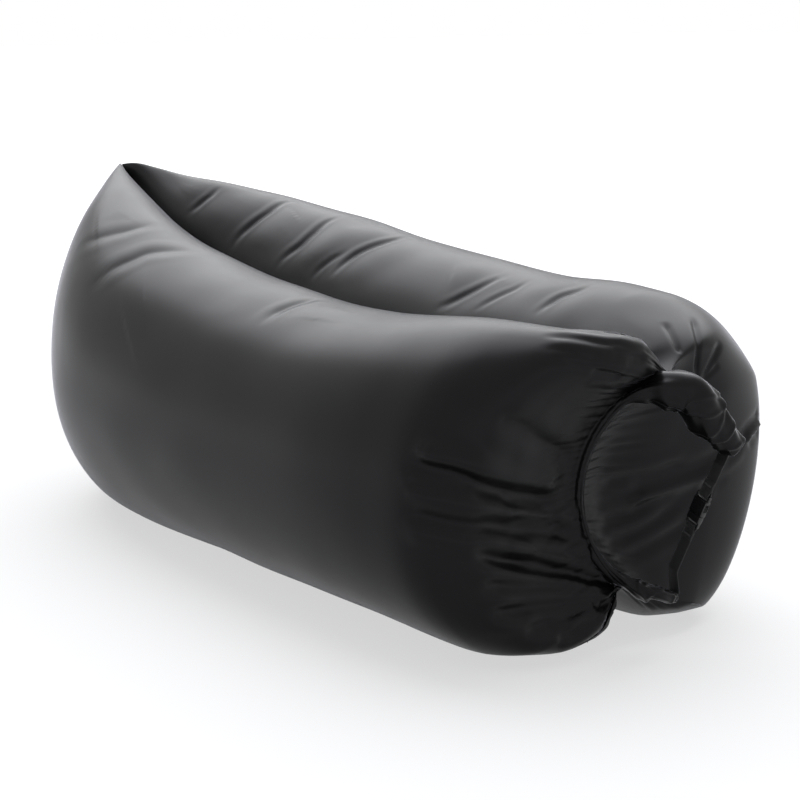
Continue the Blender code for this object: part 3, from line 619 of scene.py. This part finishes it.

# %% [markdown]
# Now the cloth gets its folds. Each crease has a half width, a depth, a lean and the places that
# it runs through. A depth below zero makes a ridge, as where the cloth is drawn tight from the
# loop. The far tube folds across its inner wall, because that wall is bent to the shorter side.
# Above the roll four straight folds, the rays, run down to the spot where the mouth is pinched.
# Most of these lines were picked on the photograph. A separate helper then carried them along
# the camera's lines of sight onto the cloth, which gave the places in the tables.

# %% Creases and pleats of both tubes
NEAR_CREASES = (
    (0.017, 0.0022, 0.2, ((0.56, 48), (0.63, 58), (0.67, 66), (0.7, 75), (0.71, 85), (0.69, 99))),
    (0.018, 0.0028, 0.3, ((0.76, 38), (0.79, 46), (0.81, 55), (0.84, 64), (0.85, 72), (0.89, 81),
        (0.92, 89), (0.95, 98))),
    (0.012, 0.0026, 0.3, ((1.42, 55), (1.41, 66), (1.41, 78), (1.41, 89), (1.42, 99))),
    (0.015, 0.0115, 0.8, ((1.99, 20), (2.05, 16), (2.1, 14), (2.14, 11), (2.19, 6), (2.25, 0), (2.31, -6),
        (2.37, -14))),
    (0.009, 0.005, 0.3, ((2.0, 11), (2.05, 10), (2.08, 9), (2.11, 8), (2.15, 5))),
    (0.014, 0.011, -0.3, ((1.99, 360), (2.05, 358), (2.1, 355), (2.15, 352), (2.2, 349), (2.26, 342),
        (2.31, 336), (2.36, 328), (2.4, 319))),
    (0.016, 0.006, 0.3, ((2.14, 38), (2.18, 32), (2.23, 28), (2.28, 21), (2.34, 14), (2.39, 6))),
    (0.013, 0.011, -0.3, ((2.14, 345), (2.18, 339), (2.22, 332), (2.26, 324), (2.3, 316), (2.34, 308),
        (2.36, 299), (2.39, 289), (2.4, 278))),
    (0.011, 0.009, 0.2, ((2.14, 331), (2.18, 328), (2.22, 321), (2.26, 315), (2.3, 308), (2.33, 300),
        (2.35, 292), (2.38, 281), (2.4, 272))),
    (0.01, 0.008, 0.2, ((2.21, 336), (2.25, 330), (2.29, 324), (2.32, 316), (2.35, 309), (2.37, 300),
        (2.39, 291), (2.4, 282))),
    (0.012, 0.009, 0.2, ((2.13, 319), (2.16, 316), (2.2, 312), (2.24, 306), (2.27, 301), (2.31, 294),
        (2.33, 288), (2.37, 272), (2.39, 268))),
    (0.011, 0.008, 0.2, ((2.17, 302), (2.21, 299), (2.24, 294), (2.28, 289), (2.32, 285), (2.36, 277))),
    (0.011, 0.008, 0.2, ((2.27, 334), (2.31, 328), (2.35, 320), (2.38, 310), (2.4, 301), (2.4, 292))),
    (0.01, 0.007, 0.2, ((2.19, 286), (2.23, 284), (2.27, 280), (2.31, 275))),
    (0.008, 0.0045, 0.2, ((2.22, 359), (2.27, 352), (2.32, 346), (2.37, 340))),
    (0.008, 0.0045, 0.2, ((2.24, 350), (2.29, 345), (2.34, 339), (2.37, 332))),
    (0.008, 0.0035, 0.2, ((2.23, 76), (2.27, 78), (2.32, 79))),
    (0.009, 0.0045, 0.2, ((2.23, 65), (2.26, 69), (2.29, 70))),
    (0.008, 0.003, 0.2, ((2.12, 70), (2.2, 74), (2.28, 76), (2.4, 80))),
    (0.008, 0.003, 0.2, ((2.1, 80), (2.2, 81), (2.28, 84), (2.37, 88))),
    (0.007, 0.0028, 0.2, ((2.14, 66), (2.23, 68), (2.3, 70), (2.39, 72))),
    (0.007, 0.0024, 0.2, ((2.12, 88), (2.22, 89), (2.3, 91), (2.37, 93))),
)
FAR_CREASES = (
    (0.007, 0.0018, 0.5, ((0.42, 130), (0.44, 121), (0.45, 111), (0.44, 98))),
    (0.008, 0.0026, 0.5, ((0.64, 139), (0.64, 129), (0.65, 120), (0.66, 109), (0.65, 95), (0.68, 90))),
    (0.008, 0.0026, 0.5, ((0.83, 138), (0.84, 129), (0.86, 121), (0.86, 111), (0.85, 101), (0.85, 90))),
    (0.007, 0.0012, 0.4, ((0.97, 136), (0.98, 128), (1.0, 120), (1.03, 112))),
    (0.008, 0.0026, 0.5, ((1.03, 132), (1.04, 122), (1.05, 114), (1.07, 105), (1.09, 96), (1.09, 84))),
    (0.008, 0.0022, 0.5, ((1.42, 130), (1.46, 124), (1.49, 116), (1.51, 109), (1.53, 99))),
    (0.007, 0.0014, 0.5, ((1.54, 128), (1.56, 121), (1.58, 115), (1.6, 109), (1.6, 99))),
    (0.008, 0.0022, 0.5, ((1.72, 125), (1.73, 118), (1.74, 110), (1.77, 104), (1.78, 96))),
    (0.012, -0.0075, 0.2, ((2.38, 341), (2.34, 344), (2.31, 346), (2.27, 350), (2.24, 352), (2.2, 356),
        (2.16, 359))),
    (0.009, 0.0035, 0.2, ((2.44, 351), (2.4, 352), (2.36, 354), (2.33, 355), (2.29, 358), (2.26, 359))),
    (0.01, 0.004, 0.2, ((2.45, 330), (2.41, 332), (2.37, 335), (2.34, 340), (2.3, 344), (2.27, 346))),
    (0.01, 0.0042, 0.2, ((2.45, 316), (2.4, 321), (2.36, 326), (2.32, 332), (2.29, 338), (2.25, 342))),
    (0.01, 0.0042, 0.2, ((2.45, 306), (2.39, 312), (2.35, 318), (2.31, 324), (2.27, 329), (2.24, 334))),
    (0.009, -0.008, 0.0, ((2.12, 5), (2.11, 8), (2.09, 10), (2.06, 12))),
    (0.008, 0.0035, 0.2, ((2.22, 342), (2.21, 350), (2.19, 356), (2.16, 360), (2.12, 365))),
)
CREASES = {"near": NEAR_CREASES, "far": FAR_CREASES}
RAYS = (
    (0.0065, 0.0046, 0.4, (0.8252, 0.1455, 0.5795), (0.9006, 0.1146, 0.5388)),
    (0.0065, 0.0046, 0.4, (0.8293, 0.2127, 0.5829), (0.8991, 0.1612, 0.4952)),
    (0.0065, 0.0044, -0.4, (0.8849, 0.2290, 0.5447), (0.8970, 0.1807, 0.4835)),
    (0.0055, 0.0034, -0.4, (0.8970, 0.2167, 0.5054), (0.8967, 0.1860, 0.4810)),
)
PLEATS = {
    "near": (
        (62, 128, 18, 0.13, 0.0020), (-58, 60, 34, 0.12, 0.0026), (222, 300, 24, 0.13, 0.0026),
        (128, 222, 12, 0.10, 0.0024),
    ),
    "far": (
        (-58, 40, 22, 0.20, 0.0034), (222, 300, 16, 0.20, 0.0036),
        (128, 222, 12, 0.10, 0.0024),
    ),
}
MOUTH_FOLDS_START = 1.9
LONG_FADE, SHORT_FADE = (0.40, 0.45), (0.15, 0.16)
BROAD_WIDTH, BROAD_DEPTH = 4.5, 1.6
DENT_WAVES, DENT_HEIGHT = 36, 0.0009
DENT_SEED, PLEAT_SEED = 40, 7
DEEPEST, HIGHEST = -0.014, 0.010


def soft_dents(tube, seed, height):
    """Wide, shallow unevenness, as the sum of a few dozen slanted waves."""
    cloth, place, distance, side = tube
    chance = np.random.default_rng(seed)
    metres, degrees = distance[:, None], turns[None, :]
    total = np.zeros(cloth.shape[:2])
    for _ in range(DENT_WAVES):
        along, around = chance.uniform(6.0, 26.0), int(chance.integers(-7, 8))
        total += np.sin(along * metres + around * degrees + chance.uniform(0.0, TAU))
    return height * total / math.sqrt(DENT_WAVES)


def relief_mask(tube):
    """Where cloth is free to fold: not at its ends, on the ground or against its neighbour."""
    cloth, place, distance, side = tube
    free = smooth_step(distance / 0.06) * smooth_step((LAST_RING - place) / 0.25)
    free = free[:, None] * smooth_step((cloth[..., 2] - 0.002) / 0.035)
    beside = smooth_step((np.abs(cloth[..., 1]) - 0.002) / 0.030)
    return free * np.where((place < BODY_END + 0.5)[:, None], beside, 1.0)


for index, (label, tube) in enumerate(tubes.items()):
    relief = soft_dents(tube, DENT_SEED + index, DENT_HEIGHT)
    press_pleats(tube, relief, PLEAT_SEED + index, PLEATS[label])
    for width, depth, lean, points in CREASES[label]:
        far_from_mouth = points[0][0] < MOUTH_FOLDS_START
        fade = LONG_FADE if far_from_mouth else SHORT_FADE
        press_fold(tube, relief, points, width, depth, lean, fade)
        if far_from_mouth:
            press_fold(
                tube, relief, points, BROAD_WIDTH * width, BROAD_DEPTH * depth, 0.0, fade)
    for ray in RAYS if label == "far" else ():
        press_ray(tube, relief, *ray)
    relief = np.clip(relief, DEEPEST, HIGHEST) * relief_mask(tube)
    cloth, place, distance, side = tube
    tubes[label] = (cloth + outward_normals(cloth, side) * relief[..., None], place, distance, side)
    print(label, "relief from", round(float(relief.min()), 4), "to", round(float(relief.max()), 4))

# %% [markdown]
# Black nylon with a thin coating is nearly black seen straight on and turns pale grey where it is
# seen edge on, under open sky. A dark base, a middling roughness and some sheen give both. The
# weave is two crossed sets of fine waves on the cloth's own map, which only roughens the gloss.
# The small makers of nodes at the top serve the webbing, the plastic and the thread as well.

# %% Coated nylon
NYLON_BLACK = (0.0050, 0.0050, 0.0048)
NYLON_THREADS = 160.0


def new_material(name):
    material = bpy.data.materials.new(name)
    material.use_nodes = True
    return material, material.node_tree.nodes, material.node_tree.links


def noise(nodes, links, scale, detail=2.0, roughness=0.5):
    """Fine unevenness that is fixed to the object."""
    uneven = nodes.new("ShaderNodeTexNoise")
    uneven.inputs["Scale"].default_value = scale
    uneven.inputs["Detail"].default_value = detail
    uneven.inputs["Roughness"].default_value = roughness
    links.new(nodes.new("ShaderNodeTexCoord").outputs["Object"], uneven.inputs["Vector"])
    return uneven.outputs["Fac"]


def two_shades(nodes, links, source, colour, shares, places=(0.0, 1.0)):
    """Sets the base colour: a dark share of it where the source is low, a light one where high."""
    ramp = nodes.new("ShaderNodeValToRGB")
    for element, share, place in zip(ramp.color_ramp.elements, shares, places):
        element.color = (*(c * share for c in colour), 1.0)
        element.position = place
    links.new(source, ramp.inputs["Fac"])
    links.new(ramp.outputs["Color"], nodes["Principled BSDF"].inputs["Base Color"])


def uneven_gloss(nodes, links, source, least, most):
    gloss = nodes.new("ShaderNodeMapRange")
    gloss.inputs["To Min"].default_value = least
    gloss.inputs["To Max"].default_value = most
    links.new(source, gloss.inputs["Value"])
    links.new(gloss.outputs["Result"], nodes["Principled BSDF"].inputs["Roughness"])


def fine_relief(nodes, links, height, strength, distance):
    relief = nodes.new("ShaderNodeBump")
    relief.inputs["Strength"].default_value = strength
    relief.inputs["Distance"].default_value = distance
    links.new(height, relief.inputs["Height"])
    links.new(relief.outputs["Normal"], nodes["Principled BSDF"].inputs["Normal"])


def wave(nodes, links, source, axis, scale):
    """One set of threads, as soft bands across an axis of the map."""
    threads = nodes.new("ShaderNodeTexWave")
    threads.wave_type = "BANDS"
    threads.bands_direction = axis
    threads.inputs["Scale"].default_value = scale
    links.new(source, threads.inputs["Vector"])
    return threads.outputs["Fac"]


def coated_nylon(name, colour):
    material, nodes, links = new_material(name)
    shader = nodes["Principled BSDF"]
    shader.inputs["Specular IOR Level"].default_value = 0.16
    shader.inputs["Sheen Weight"].default_value = 1.0
    shader.inputs["Sheen Roughness"].default_value = 0.18
    shader.inputs["Sheen Tint"].default_value = (0.90, 0.89, 1.0, 1.0)
    shader.inputs["Specular Tint"].default_value = (0.93, 0.92, 1.0, 1.0)
    shader.inputs["IOR"].default_value = 1.5
    cloth_map = nodes.new("ShaderNodeUVMap")
    cloth_map.uv_map = "cloth"
    warp = wave(nodes, links, cloth_map.outputs["UV"], "X", NYLON_THREADS)
    weft = wave(nodes, links, cloth_map.outputs["UV"], "Y", NYLON_THREADS)
    rub = noise(nodes, links, 7.0, detail=6.0, roughness=0.6)
    two_shades(nodes, links, rub, colour, (0.82, 1.18), (0.30, 0.70))
    uneven_gloss(nodes, links, rub, 0.30, 0.40)
    fine_relief(nodes, links, combined(nodes, links, "MAXIMUM", warp, weft), 0.12, 0.0004)
    return material


# %% [markdown]
# The grid itself comes from Blender, and its points are then laid on the cloth. Welding the long
# edges and closing the ends leaves one closed skin, whose faces are turned outward. The same few
# lines serve for everything here that is a run of rings: both tubes and the roll.

# %% Skin from a grid
TUBE_CLOTH_WIDTH = 1.9


def laid_skin(name, points, cloth_places, material):
    """A closed skin over rings of points, with a map of its places on the flat cloth."""
    rows, columns = points.shape[0] - 1, points.shape[1] - 1
    bm = bmesh.new()
    bmesh.ops.create_grid(bm, x_segments=columns, y_segments=rows, size=1.0)
    mesh = mesh_from(bm, name)
    flat = np.empty(len(mesh.vertices) * 3)
    mesh.vertices.foreach_get("co", flat)
    flat = flat.reshape(-1, 3)
    column = np.rint((flat[:, 0] + 1.0) / 2.0 * columns).astype(int)
    row = np.rint((flat[:, 1] + 1.0) / 2.0 * rows).astype(int)
    mesh.vertices.foreach_set("co", points[row, column].ravel())
    corner = np.empty(len(mesh.loops), dtype=np.int32)
    mesh.loops.foreach_get("vertex_index", corner)
    cloth_map = mesh.uv_layers.new(name="cloth")
    cloth_map.uv.foreach_set("vector", cloth_places[row[corner], column[corner]].ravel())
    bm = bmesh.new()
    bm.from_mesh(mesh)
    bmesh.ops.remove_doubles(bm, verts=bm.verts, dist=1e-6)
    bmesh.ops.dissolve_degenerate(bm, dist=1e-7, edges=bm.edges)
    bmesh.ops.holes_fill(bm, edges=[edge for edge in bm.edges if edge.is_boundary], sides=0)
    bmesh.ops.recalc_face_normals(bm, faces=bm.faces)
    open_edges = sum(1 for edge in bm.edges if not edge.is_manifold)
    bm.to_mesh(mesh)
    bm.free()
    mesh.shade_smooth()
    mesh.materials.append(material)
    print(name, "faces", len(mesh.polygons), "open edges", open_edges)
    return placed(name, mesh)


def flat_places(distance, width, columns):
    """Places on flat cloth for rings at these distances: along it, and across its full width."""
    along, across = np.meshgrid(distance, np.linspace(0.0, width, columns + 1), indexing="ij")
    return np.stack([along, across], axis=-1)


for label, (cloth, place, distance, side) in tubes.items():
    cloth = cloth.copy()
    cloth[:, -1] = cloth[:, 0]
    cloth[0] = pressed_flat(cloth[0])
    cloth[-1] = pressed_flat(cloth[-1])
    nylon = coated_nylon(label + "_nylon", NYLON_BLACK)
    skin = laid_skin(label + "_tube", cloth, flat_places(distance, TUBE_CLOTH_WIDTH, COLUMNS), nylon)
    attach(skin, "sofa")
    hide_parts(label + "_chamber", label + "_liner")

# %% [markdown]
# The mouths of both tubes are laid flat on a batten, rolled up like a paper bag, and bent round.
# Along the left of the loop the two tubes squeeze the roll between them, so that little more than
# a thin lip shows. At both ends it is free, puffs up, and its inner turns slide out like the tubes
# of a telescope. The upper part sags under its own weight. One swept skin does it, whose width,
# depth and steps change along its way.

# %% Path of the roll
LOW_RUN, TOP_RUN = 0.042, 0.1005
LOW_ANGLE, TOP_ANGLE = 258.0, 80.0
SAG, SAG_START, SAG_OVER = 0.022, math.radians(128.0), math.radians(40.0)
END_RADIUS = 0.155
TOP_END_WAY = np.array((0.133, 0.694, -0.720))


def roll_path(count):
    """Places on the roll's middle line, its angle there, and how far it has run past an end."""
    angle = np.radians(np.linspace(LOW_ANGLE, TOP_ANGLE, 400))
    arc = on_loop(angle, -SAG * smooth_step((SAG_START - angle) / SAG_OVER))
    low_way = unit((arc[0] - arc[1]) * (0.0, 1.0, 1.0))
    top_way = unit(arc[-1] - arc[-2])
    low_steps = np.linspace(LOW_RUN, 0.0, 24, endpoint=False)
    top_steps = np.linspace(0.0, TOP_RUN, 61)[1:]
    bent = smooth_step(top_steps / (0.6 * TOP_RUN))[:, None]
    bent = top_way * (1.0 - bent) + TOP_END_WAY * bent
    top = arc[-1] + np.cumsum(bent, axis=0) * top_steps[0]
    points = np.concatenate([arc[0] + low_way * low_steps[:, None], arc, top])
    where = np.concatenate([
        LOW_ANGLE + np.degrees(low_steps / END_RADIUS), np.degrees(angle),
        TOP_ANGLE - np.degrees(top_steps / END_RADIUS)])
    length = np.concatenate([[0.0], np.cumsum(np.linalg.norm(np.diff(points, axis=0), axis=1))])
    even = np.linspace(0.0, length[-1], count)
    points = np.stack([np.interp(even, length, points[:, k]) for k in range(3)], axis=1)
    return points, np.interp(even, length, where), even


roll_points, roll_angles, roll_lengths = roll_path(count=260)
print("the roll is", round(float(roll_lengths[-1]), 3), "m long")

# %% [markdown]
# Its cross-section is a flattened round. The table gives its half width, its half depth and how
# far it is drawn back at a few angles of the loop. Each layer ends in a slanting step with a
# raised rim, and small slanting wrinkles run round all of it, as in cloth that was wound by hand.

# %% Skin of the roll
ROLL_SIZES = (
    (37.0, 0.0330, 0.0320, 0.000), (46.0, 0.0370, 0.0350, 0.000), (56.0, 0.0390, 0.0370, 0.000),
    (66.0, 0.0400, 0.0375, 0.000), (80.0, 0.0400, 0.0370, 0.000), (94.0, 0.0400, 0.0360, -0.002),
    (107.0, 0.0370, 0.0330, -0.006), (119.0, 0.0230, 0.0180, -0.016), (132.0, 0.0120, 0.0064, -0.024),
    (180.0, 0.0100, 0.0048, -0.026), (226.0, 0.0110, 0.0058, -0.024),
    (240.0, 0.0190, 0.0115, -0.014), (250.0, 0.0270, 0.0165, -0.004),
    (262.0, 0.0270, 0.0165, 0.000), (274.0, 0.0255, 0.0155, 0.000),
)
ROLL_STEPS = (
    (90.0, 0.0022, 10.0), (81.0, 0.0024, -9.0), (73.0, 0.0022, 8.0), (63.0, 0.0050, -7.0),
    (46.0, 0.0014, 5.0), (252.0, 0.0026, -7.0), (260.0, 0.0024, 6.0), (267.0, 0.0016, -4.0),
)
AROUND = 96
ROLL_CLOTH_WIDTH = 0.16
RIM_HEIGHT, WRINKLES, WRINKLE_HEIGHT, WRINKLE_SEED = 0.0014, 14, 0.00042, 23


def eased_table(table, where):
    """Each column of a table, read smoothly at the angles asked for."""
    table = np.array(table)
    rows = np.clip(np.searchsorted(table[:, 0], where, side="right") - 1, 0, len(table) - 2)
    share = smooth_step((where - table[rows, 0]) / (table[rows + 1, 0] - table[rows, 0]))
    return table[rows, 1:] + (table[rows + 1, 1:] - table[rows, 1:]) * share[:, None]


def roll_rings():
    around = np.linspace(0.0, TAU, AROUND + 1)
    sizes = eased_table(ROLL_SIZES, roll_angles)
    heading = unit(np.gradient(roll_points, axis=0))
    wide = unit(np.array((1.0, 0.0, 0.0)) - heading * heading[:, :1])
    deep = np.cross(wide, heading)
    swell = np.zeros((len(roll_points), AROUND + 1))
    for at, drop, slant in ROLL_STEPS:
        past = at + slant * np.cos(around + at)[None, :] - roll_angles[:, None]
        past = past if at < 180.0 else -past
        swell += drop * (1.0 - smooth_step(past / 1.6 + 0.5)) - drop
        swell += RIM_HEIGHT * np.exp(-((past + 1.4) / 1.3) ** 2)
    chance = np.random.default_rng(WRINKLE_SEED)
    for _ in range(WRINKLES):
        turns_round, slope = int(chance.integers(2, 9)), chance.uniform(25.0, 110.0)
        phase = chance.uniform(0.0, TAU)
        wrinkle = turns_round * around[None, :] + slope * roll_lengths[:, None] + phase
        swell += WRINKLE_HEIGHT * np.sin(wrinkle)
    swell *= np.clip(sizes[:, 1:2] / 0.016, 0.25, 1.0)
    shape = np.abs(np.cos(around)) ** 0.72 * np.sign(np.cos(around))
    depth_shape = np.abs(np.sin(around)) ** 0.80 * np.sign(np.sin(around))
    across = (sizes[:, :1] + swell) * shape[None, :] + sizes[:, 2:]
    out = (sizes[:, 1:2] + swell) * depth_shape[None, :]
    rings = roll_points[:, None] + wide[:, None] * across[..., None] + deep[:, None] * out[..., None]
    low_end, top_end = tucked_end(rings[0], -heading[0]), tucked_end(rings[-1], heading[-1])
    return np.concatenate([low_end[::-1], rings, top_end])


def tucked_end(ring, onward):
    """Rings that round off an end and turn back in, as the mouth of a rolled cloth does."""
    middle = ring[:-1].mean(axis=0)
    steps = (
        (0.985, 0.0016), (0.93, 0.0028), (0.84, 0.0030), (0.72, 0.0012), (0.66, -0.0040),
        (0.50, -0.0100), (0.04, -0.0110),
    )
    return np.array([middle + (ring - middle) * size + onward * out for size, out in steps])


nylon = coated_nylon("mouth_nylon", NYLON_BLACK)
rings = roll_rings()
roll_length = np.concatenate([[0.0], np.cumsum(np.linalg.norm(np.diff(rings[:, 0], axis=0), axis=1))])
roll = laid_skin("rolled_mouth", rings, flat_places(roll_length, ROLL_CLOTH_WIDTH, AROUND), nylon)
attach(roll, "sofa")
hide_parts("mouth_roll", "mouth_batten")

# %% [markdown]
# The CAD part already has the right outline for the straps, the buckle and the tapes, made of
# plain flat faces. A dressed copy keeps that outline: its loose triangles are merged, its flat
# faces joined up again, and its edges rounded, as sewn tape and moulded plastic are.

# %% A dressed copy of a CAD piece
SHARP_EDGE, FLAT_JOIN, ROUNDED_EDGE = (math.radians(degrees) for degrees in (40.0, 1.0, 30.0))


def dressed_copy(name, node, rounding, material, body, reshape=None):
    """A copy with rounded edges. It rides on a body, where one is given."""
    source = bpy.data.objects[node]
    bm = bmesh.new()
    bm.from_mesh(source.data)
    bm.transform(source.matrix_world)
    bmesh.ops.remove_doubles(bm, verts=bm.verts, dist=1e-6)
    for vert in bm.verts if reshape else ():
        vert.co = reshape(vert.co)
    bmesh.ops.dissolve_limit(
        bm, angle_limit=FLAT_JOIN, verts=bm.verts, edges=bm.edges, use_dissolve_boundaries=False)
    corners = [edge for edge in bm.edges if edge.calc_face_angle(0.0) > ROUNDED_EDGE]
    bmesh.ops.bevel(
        bm, geom=corners, offset=rounding, offset_type="OFFSET", segments=2,
        profile=0.5, affect="EDGES", material=-1, clamp_overlap=True)
    bmesh.ops.recalc_face_normals(bm, faces=bm.faces)
    mesh = mesh_from(bm, name)
    mesh.shade_smooth()
    mesh.set_sharp_from_angle(angle=SHARP_EDGE)
    mesh.materials.append(material)
    piece = placed(name, mesh)
    if body:
        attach(piece, body)
    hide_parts(node)
    print(name, "faces", len(mesh.polygons))
    return piece


# %% [markdown]
# Webbing is woven from thick yarn: fine ribs run along it, and the weft crosses them in short
# steps. The pattern is laid along the buckle's own direction by a Mapping node, because both
# straps hang on that line. Small chevrons and a dull sheen are what the eye knows webbing by.

# %% Webbing and its weave
BUCKLE_TILT = math.radians(12.66)
BUCKLE_LEAN = math.radians(16.5)
RIBS, STEPS = 180.0, 150.0
WEBBING_BLACK, TAPE_BLACK = (0.016, 0.016, 0.017), (0.012, 0.012, 0.013)
WEBBING_ROUNDING, TAPE_ROUNDING = 0.0006, 0.0002
ROLL_MOUTH_Y, DRAWN_IN = 0.124, 0.6


def buckle_axes():
    """Directions across the buckle, up its length and out of its back."""
    tilt_sine, tilt_cosine = math.sin(BUCKLE_TILT), math.cos(BUCKLE_TILT)
    lean_sine, lean_cosine = math.sin(BUCKLE_LEAN), math.cos(BUCKLE_LEAN)
    return (
        Vector((lean_cosine, -lean_sine * tilt_sine, -lean_sine * tilt_cosine)),
        Vector((lean_sine, lean_cosine * tilt_sine, lean_cosine * tilt_cosine)),
        Vector((0.0, tilt_cosine, -tilt_sine)),
    )


def buckle_mapping(nodes, links):
    """Object coordinates turned so that X is across the strap and Y along it."""
    turned = nodes.new("ShaderNodeMapping")
    turned.vector_type = "POINT"
    buckle_frame = Matrix(buckle_axes()).transposed()
    turned.inputs["Rotation"].default_value = buckle_frame.inverted().to_euler()
    links.new(nodes.new("ShaderNodeTexCoord").outputs["Object"], turned.inputs["Vector"])
    return turned.outputs["Vector"]


def webbing(name, colour):
    material, nodes, links = new_material(name)
    shader = nodes["Principled BSDF"]
    shader.inputs["Roughness"].default_value = 0.55
    shader.inputs["Specular IOR Level"].default_value = 0.30
    shader.inputs["Sheen Weight"].default_value = 0.6
    shader.inputs["Sheen Roughness"].default_value = 0.35
    where = buckle_mapping(nodes, links)
    ribs = wave(nodes, links, where, "X", RIBS)
    steps = wave(nodes, links, where, "DIAGONAL", STEPS)
    yarn = combined(nodes, links, "MULTIPLY", ribs, steps)
    two_shades(nodes, links, yarn, colour, (0.55, 1.7))
    fine_relief(nodes, links, yarn, 0.6, 0.0005)
    return material


def into_the_roll(point):
    """Draws the strap's hidden end in, so that it stays inside the roll's puffed end."""
    beyond = max(point.y - ROLL_MOUTH_Y, 0.0)
    return Vector((point.x, point.y - DRAWN_IN * beyond, point.z))


weave = webbing("upper_webbing_weave", WEBBING_BLACK)
upper = dressed_copy(
    "upper_webbing", "upper_strap", WEBBING_ROUNDING, weave, "sofa", reshape=into_the_roll)
weave = webbing("lower_webbing_weave", WEBBING_BLACK)
lower = dressed_copy("lower_webbing", "lower_strap", WEBBING_ROUNDING, weave, None)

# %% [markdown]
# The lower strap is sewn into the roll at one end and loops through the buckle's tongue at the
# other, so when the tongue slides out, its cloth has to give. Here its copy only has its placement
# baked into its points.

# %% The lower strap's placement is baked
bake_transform(lower)

# %% [markdown]
# The buckle is moulded from black acetal: smooth, hard and a little glossy, with a very fine
# grain from the mould. Its edges catch a thin bright line, which is most of what shows of it, so
# the rounding of the edges matters more than the colour.

# %% Buckle
ACETAL_BLACK = (0.010, 0.010, 0.011)
MOULDED_ROUNDING = 0.0005


def acetal(name, colour, roughness):
    material, nodes, links = new_material(name)
    nodes["Principled BSDF"].inputs["IOR"].default_value = 1.48
    grain = noise(nodes, links, 900.0, detail=3.0)
    two_shades(nodes, links, grain, colour, (0.8, 1.25))
    uneven_gloss(nodes, links, grain, roughness - 0.05, roughness + 0.08)
    fine_relief(nodes, links, grain, 0.15, 0.0001)
    return material


for name, node, body, slot, roughness in (
    ("socket_shell", "buckle_socket", "sofa", "buckle_socket_plastic", 0.26),
    ("tongue_base", "buckle_tongue", "tongue", "buckle_tongue_plastic", 0.30),
    ("outer_latch_spring", "outer_latch_arm", "outer_latch", "outer_latch_arm_plastic", 0.30),
    ("inner_latch_spring", "inner_latch_arm", "inner_latch", "inner_latch_arm_plastic", 0.30),
):
    plastic = acetal(name + "_acetal", ACETAL_BLACK, roughness)
    piece = dressed_copy(name, node, MOULDED_ROUNDING, plastic, body)

# %% [markdown]
# Each strap's end is sewn down on itself with a bar tack: some twenty tight satin stitches side
# by side. They are real threads here, small round rods along the strap, on both of its faces. Each
# leans a little, to the left and to the right by turns.

# %% Bar tacks
THREAD_BLACK, THREAD_THICKNESS = (0.022, 0.022, 0.024), 0.00062
STITCHES, TACK_WIDTH, STITCH_HALF = 22, 0.0172, 0.0019
STITCH_LEAN, STITCH_RISE = 0.00022, 0.00030


def thread(name, colour):
    material, nodes, links = new_material(name)
    shader = nodes["Principled BSDF"]
    shader.inputs["Roughness"].default_value = 0.45
    shader.inputs["Sheen Weight"].default_value = 0.4
    two_shades(nodes, links, noise(nodes, links, 1500.0), colour, (0.6, 1.6))
    return material


def add_rod(bm, start, end, thickness):
    """A short stitch from start to end, with rounded ends."""
    way = end - start
    made = bmesh.ops.create_uvsphere(bm, u_segments=6, v_segments=4, radius=thickness / 2)["verts"]
    turn = way.to_track_quat("Z", "Y").to_matrix().to_4x4()
    size = Matrix.Diagonal((1.0, 1.0, way.length / thickness, 1.0))
    bmesh.ops.transform(bm, matrix=Matrix.Translation((start + end) / 2) @ turn @ size, verts=made)


def stitched_tack(name, node, body):
    low, high = (Vector(corner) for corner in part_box(node))
    across, up, back = buckle_axes()
    middle = (low + high) / 2
    bm = bmesh.new()
    for k in range(STITCHES):
        shift = (k / (STITCHES - 1) - 0.5) * TACK_WIDTH
        lean = STITCH_LEAN if k % 2 else -STITCH_LEAN
        for face in (-1.0, 1.0):
            place = middle + across * shift + back * face * STITCH_RISE
            half = across * lean + up * STITCH_HALF
            add_rod(bm, place - half, place + half, THREAD_THICKNESS)
    mesh = mesh_from(bm, name)
    mesh.shade_smooth()
    mesh.materials.append(thread(name + "_yarn", THREAD_BLACK))
    piece = placed(name, mesh)
    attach(piece, body)
    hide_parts(node)
    print(name, "faces", len(mesh.polygons))


stitched_tack("upper_stitches", "upper_bar_tack", "sofa")
stitched_tack("lower_stitches", "lower_bar_tack", "tongue")

# %% [markdown]
# Three tapes finish the seams: a flat one in the valley between the tubes, and a narrow binding
# folded over the edge of each head seam. They have the straps' weave in a darker black, and stay
# thin, because little of them shows between the filled tubes.

# %% Seam tape and head bindings
for name, node, slot in (
    ("valley_tape", "centre_seam_tape", "centre_seam_tape_weave"),
    ("near_tip_binding", "near_head_binding", "near_head_binding_tape"),
    ("far_tip_binding", "far_head_binding", "far_head_binding_tape"),
):
    weave = webbing(name + "_weave", TAPE_BLACK)
    piece = dressed_copy(name, node, TAPE_ROUNDING, weave, "sofa")
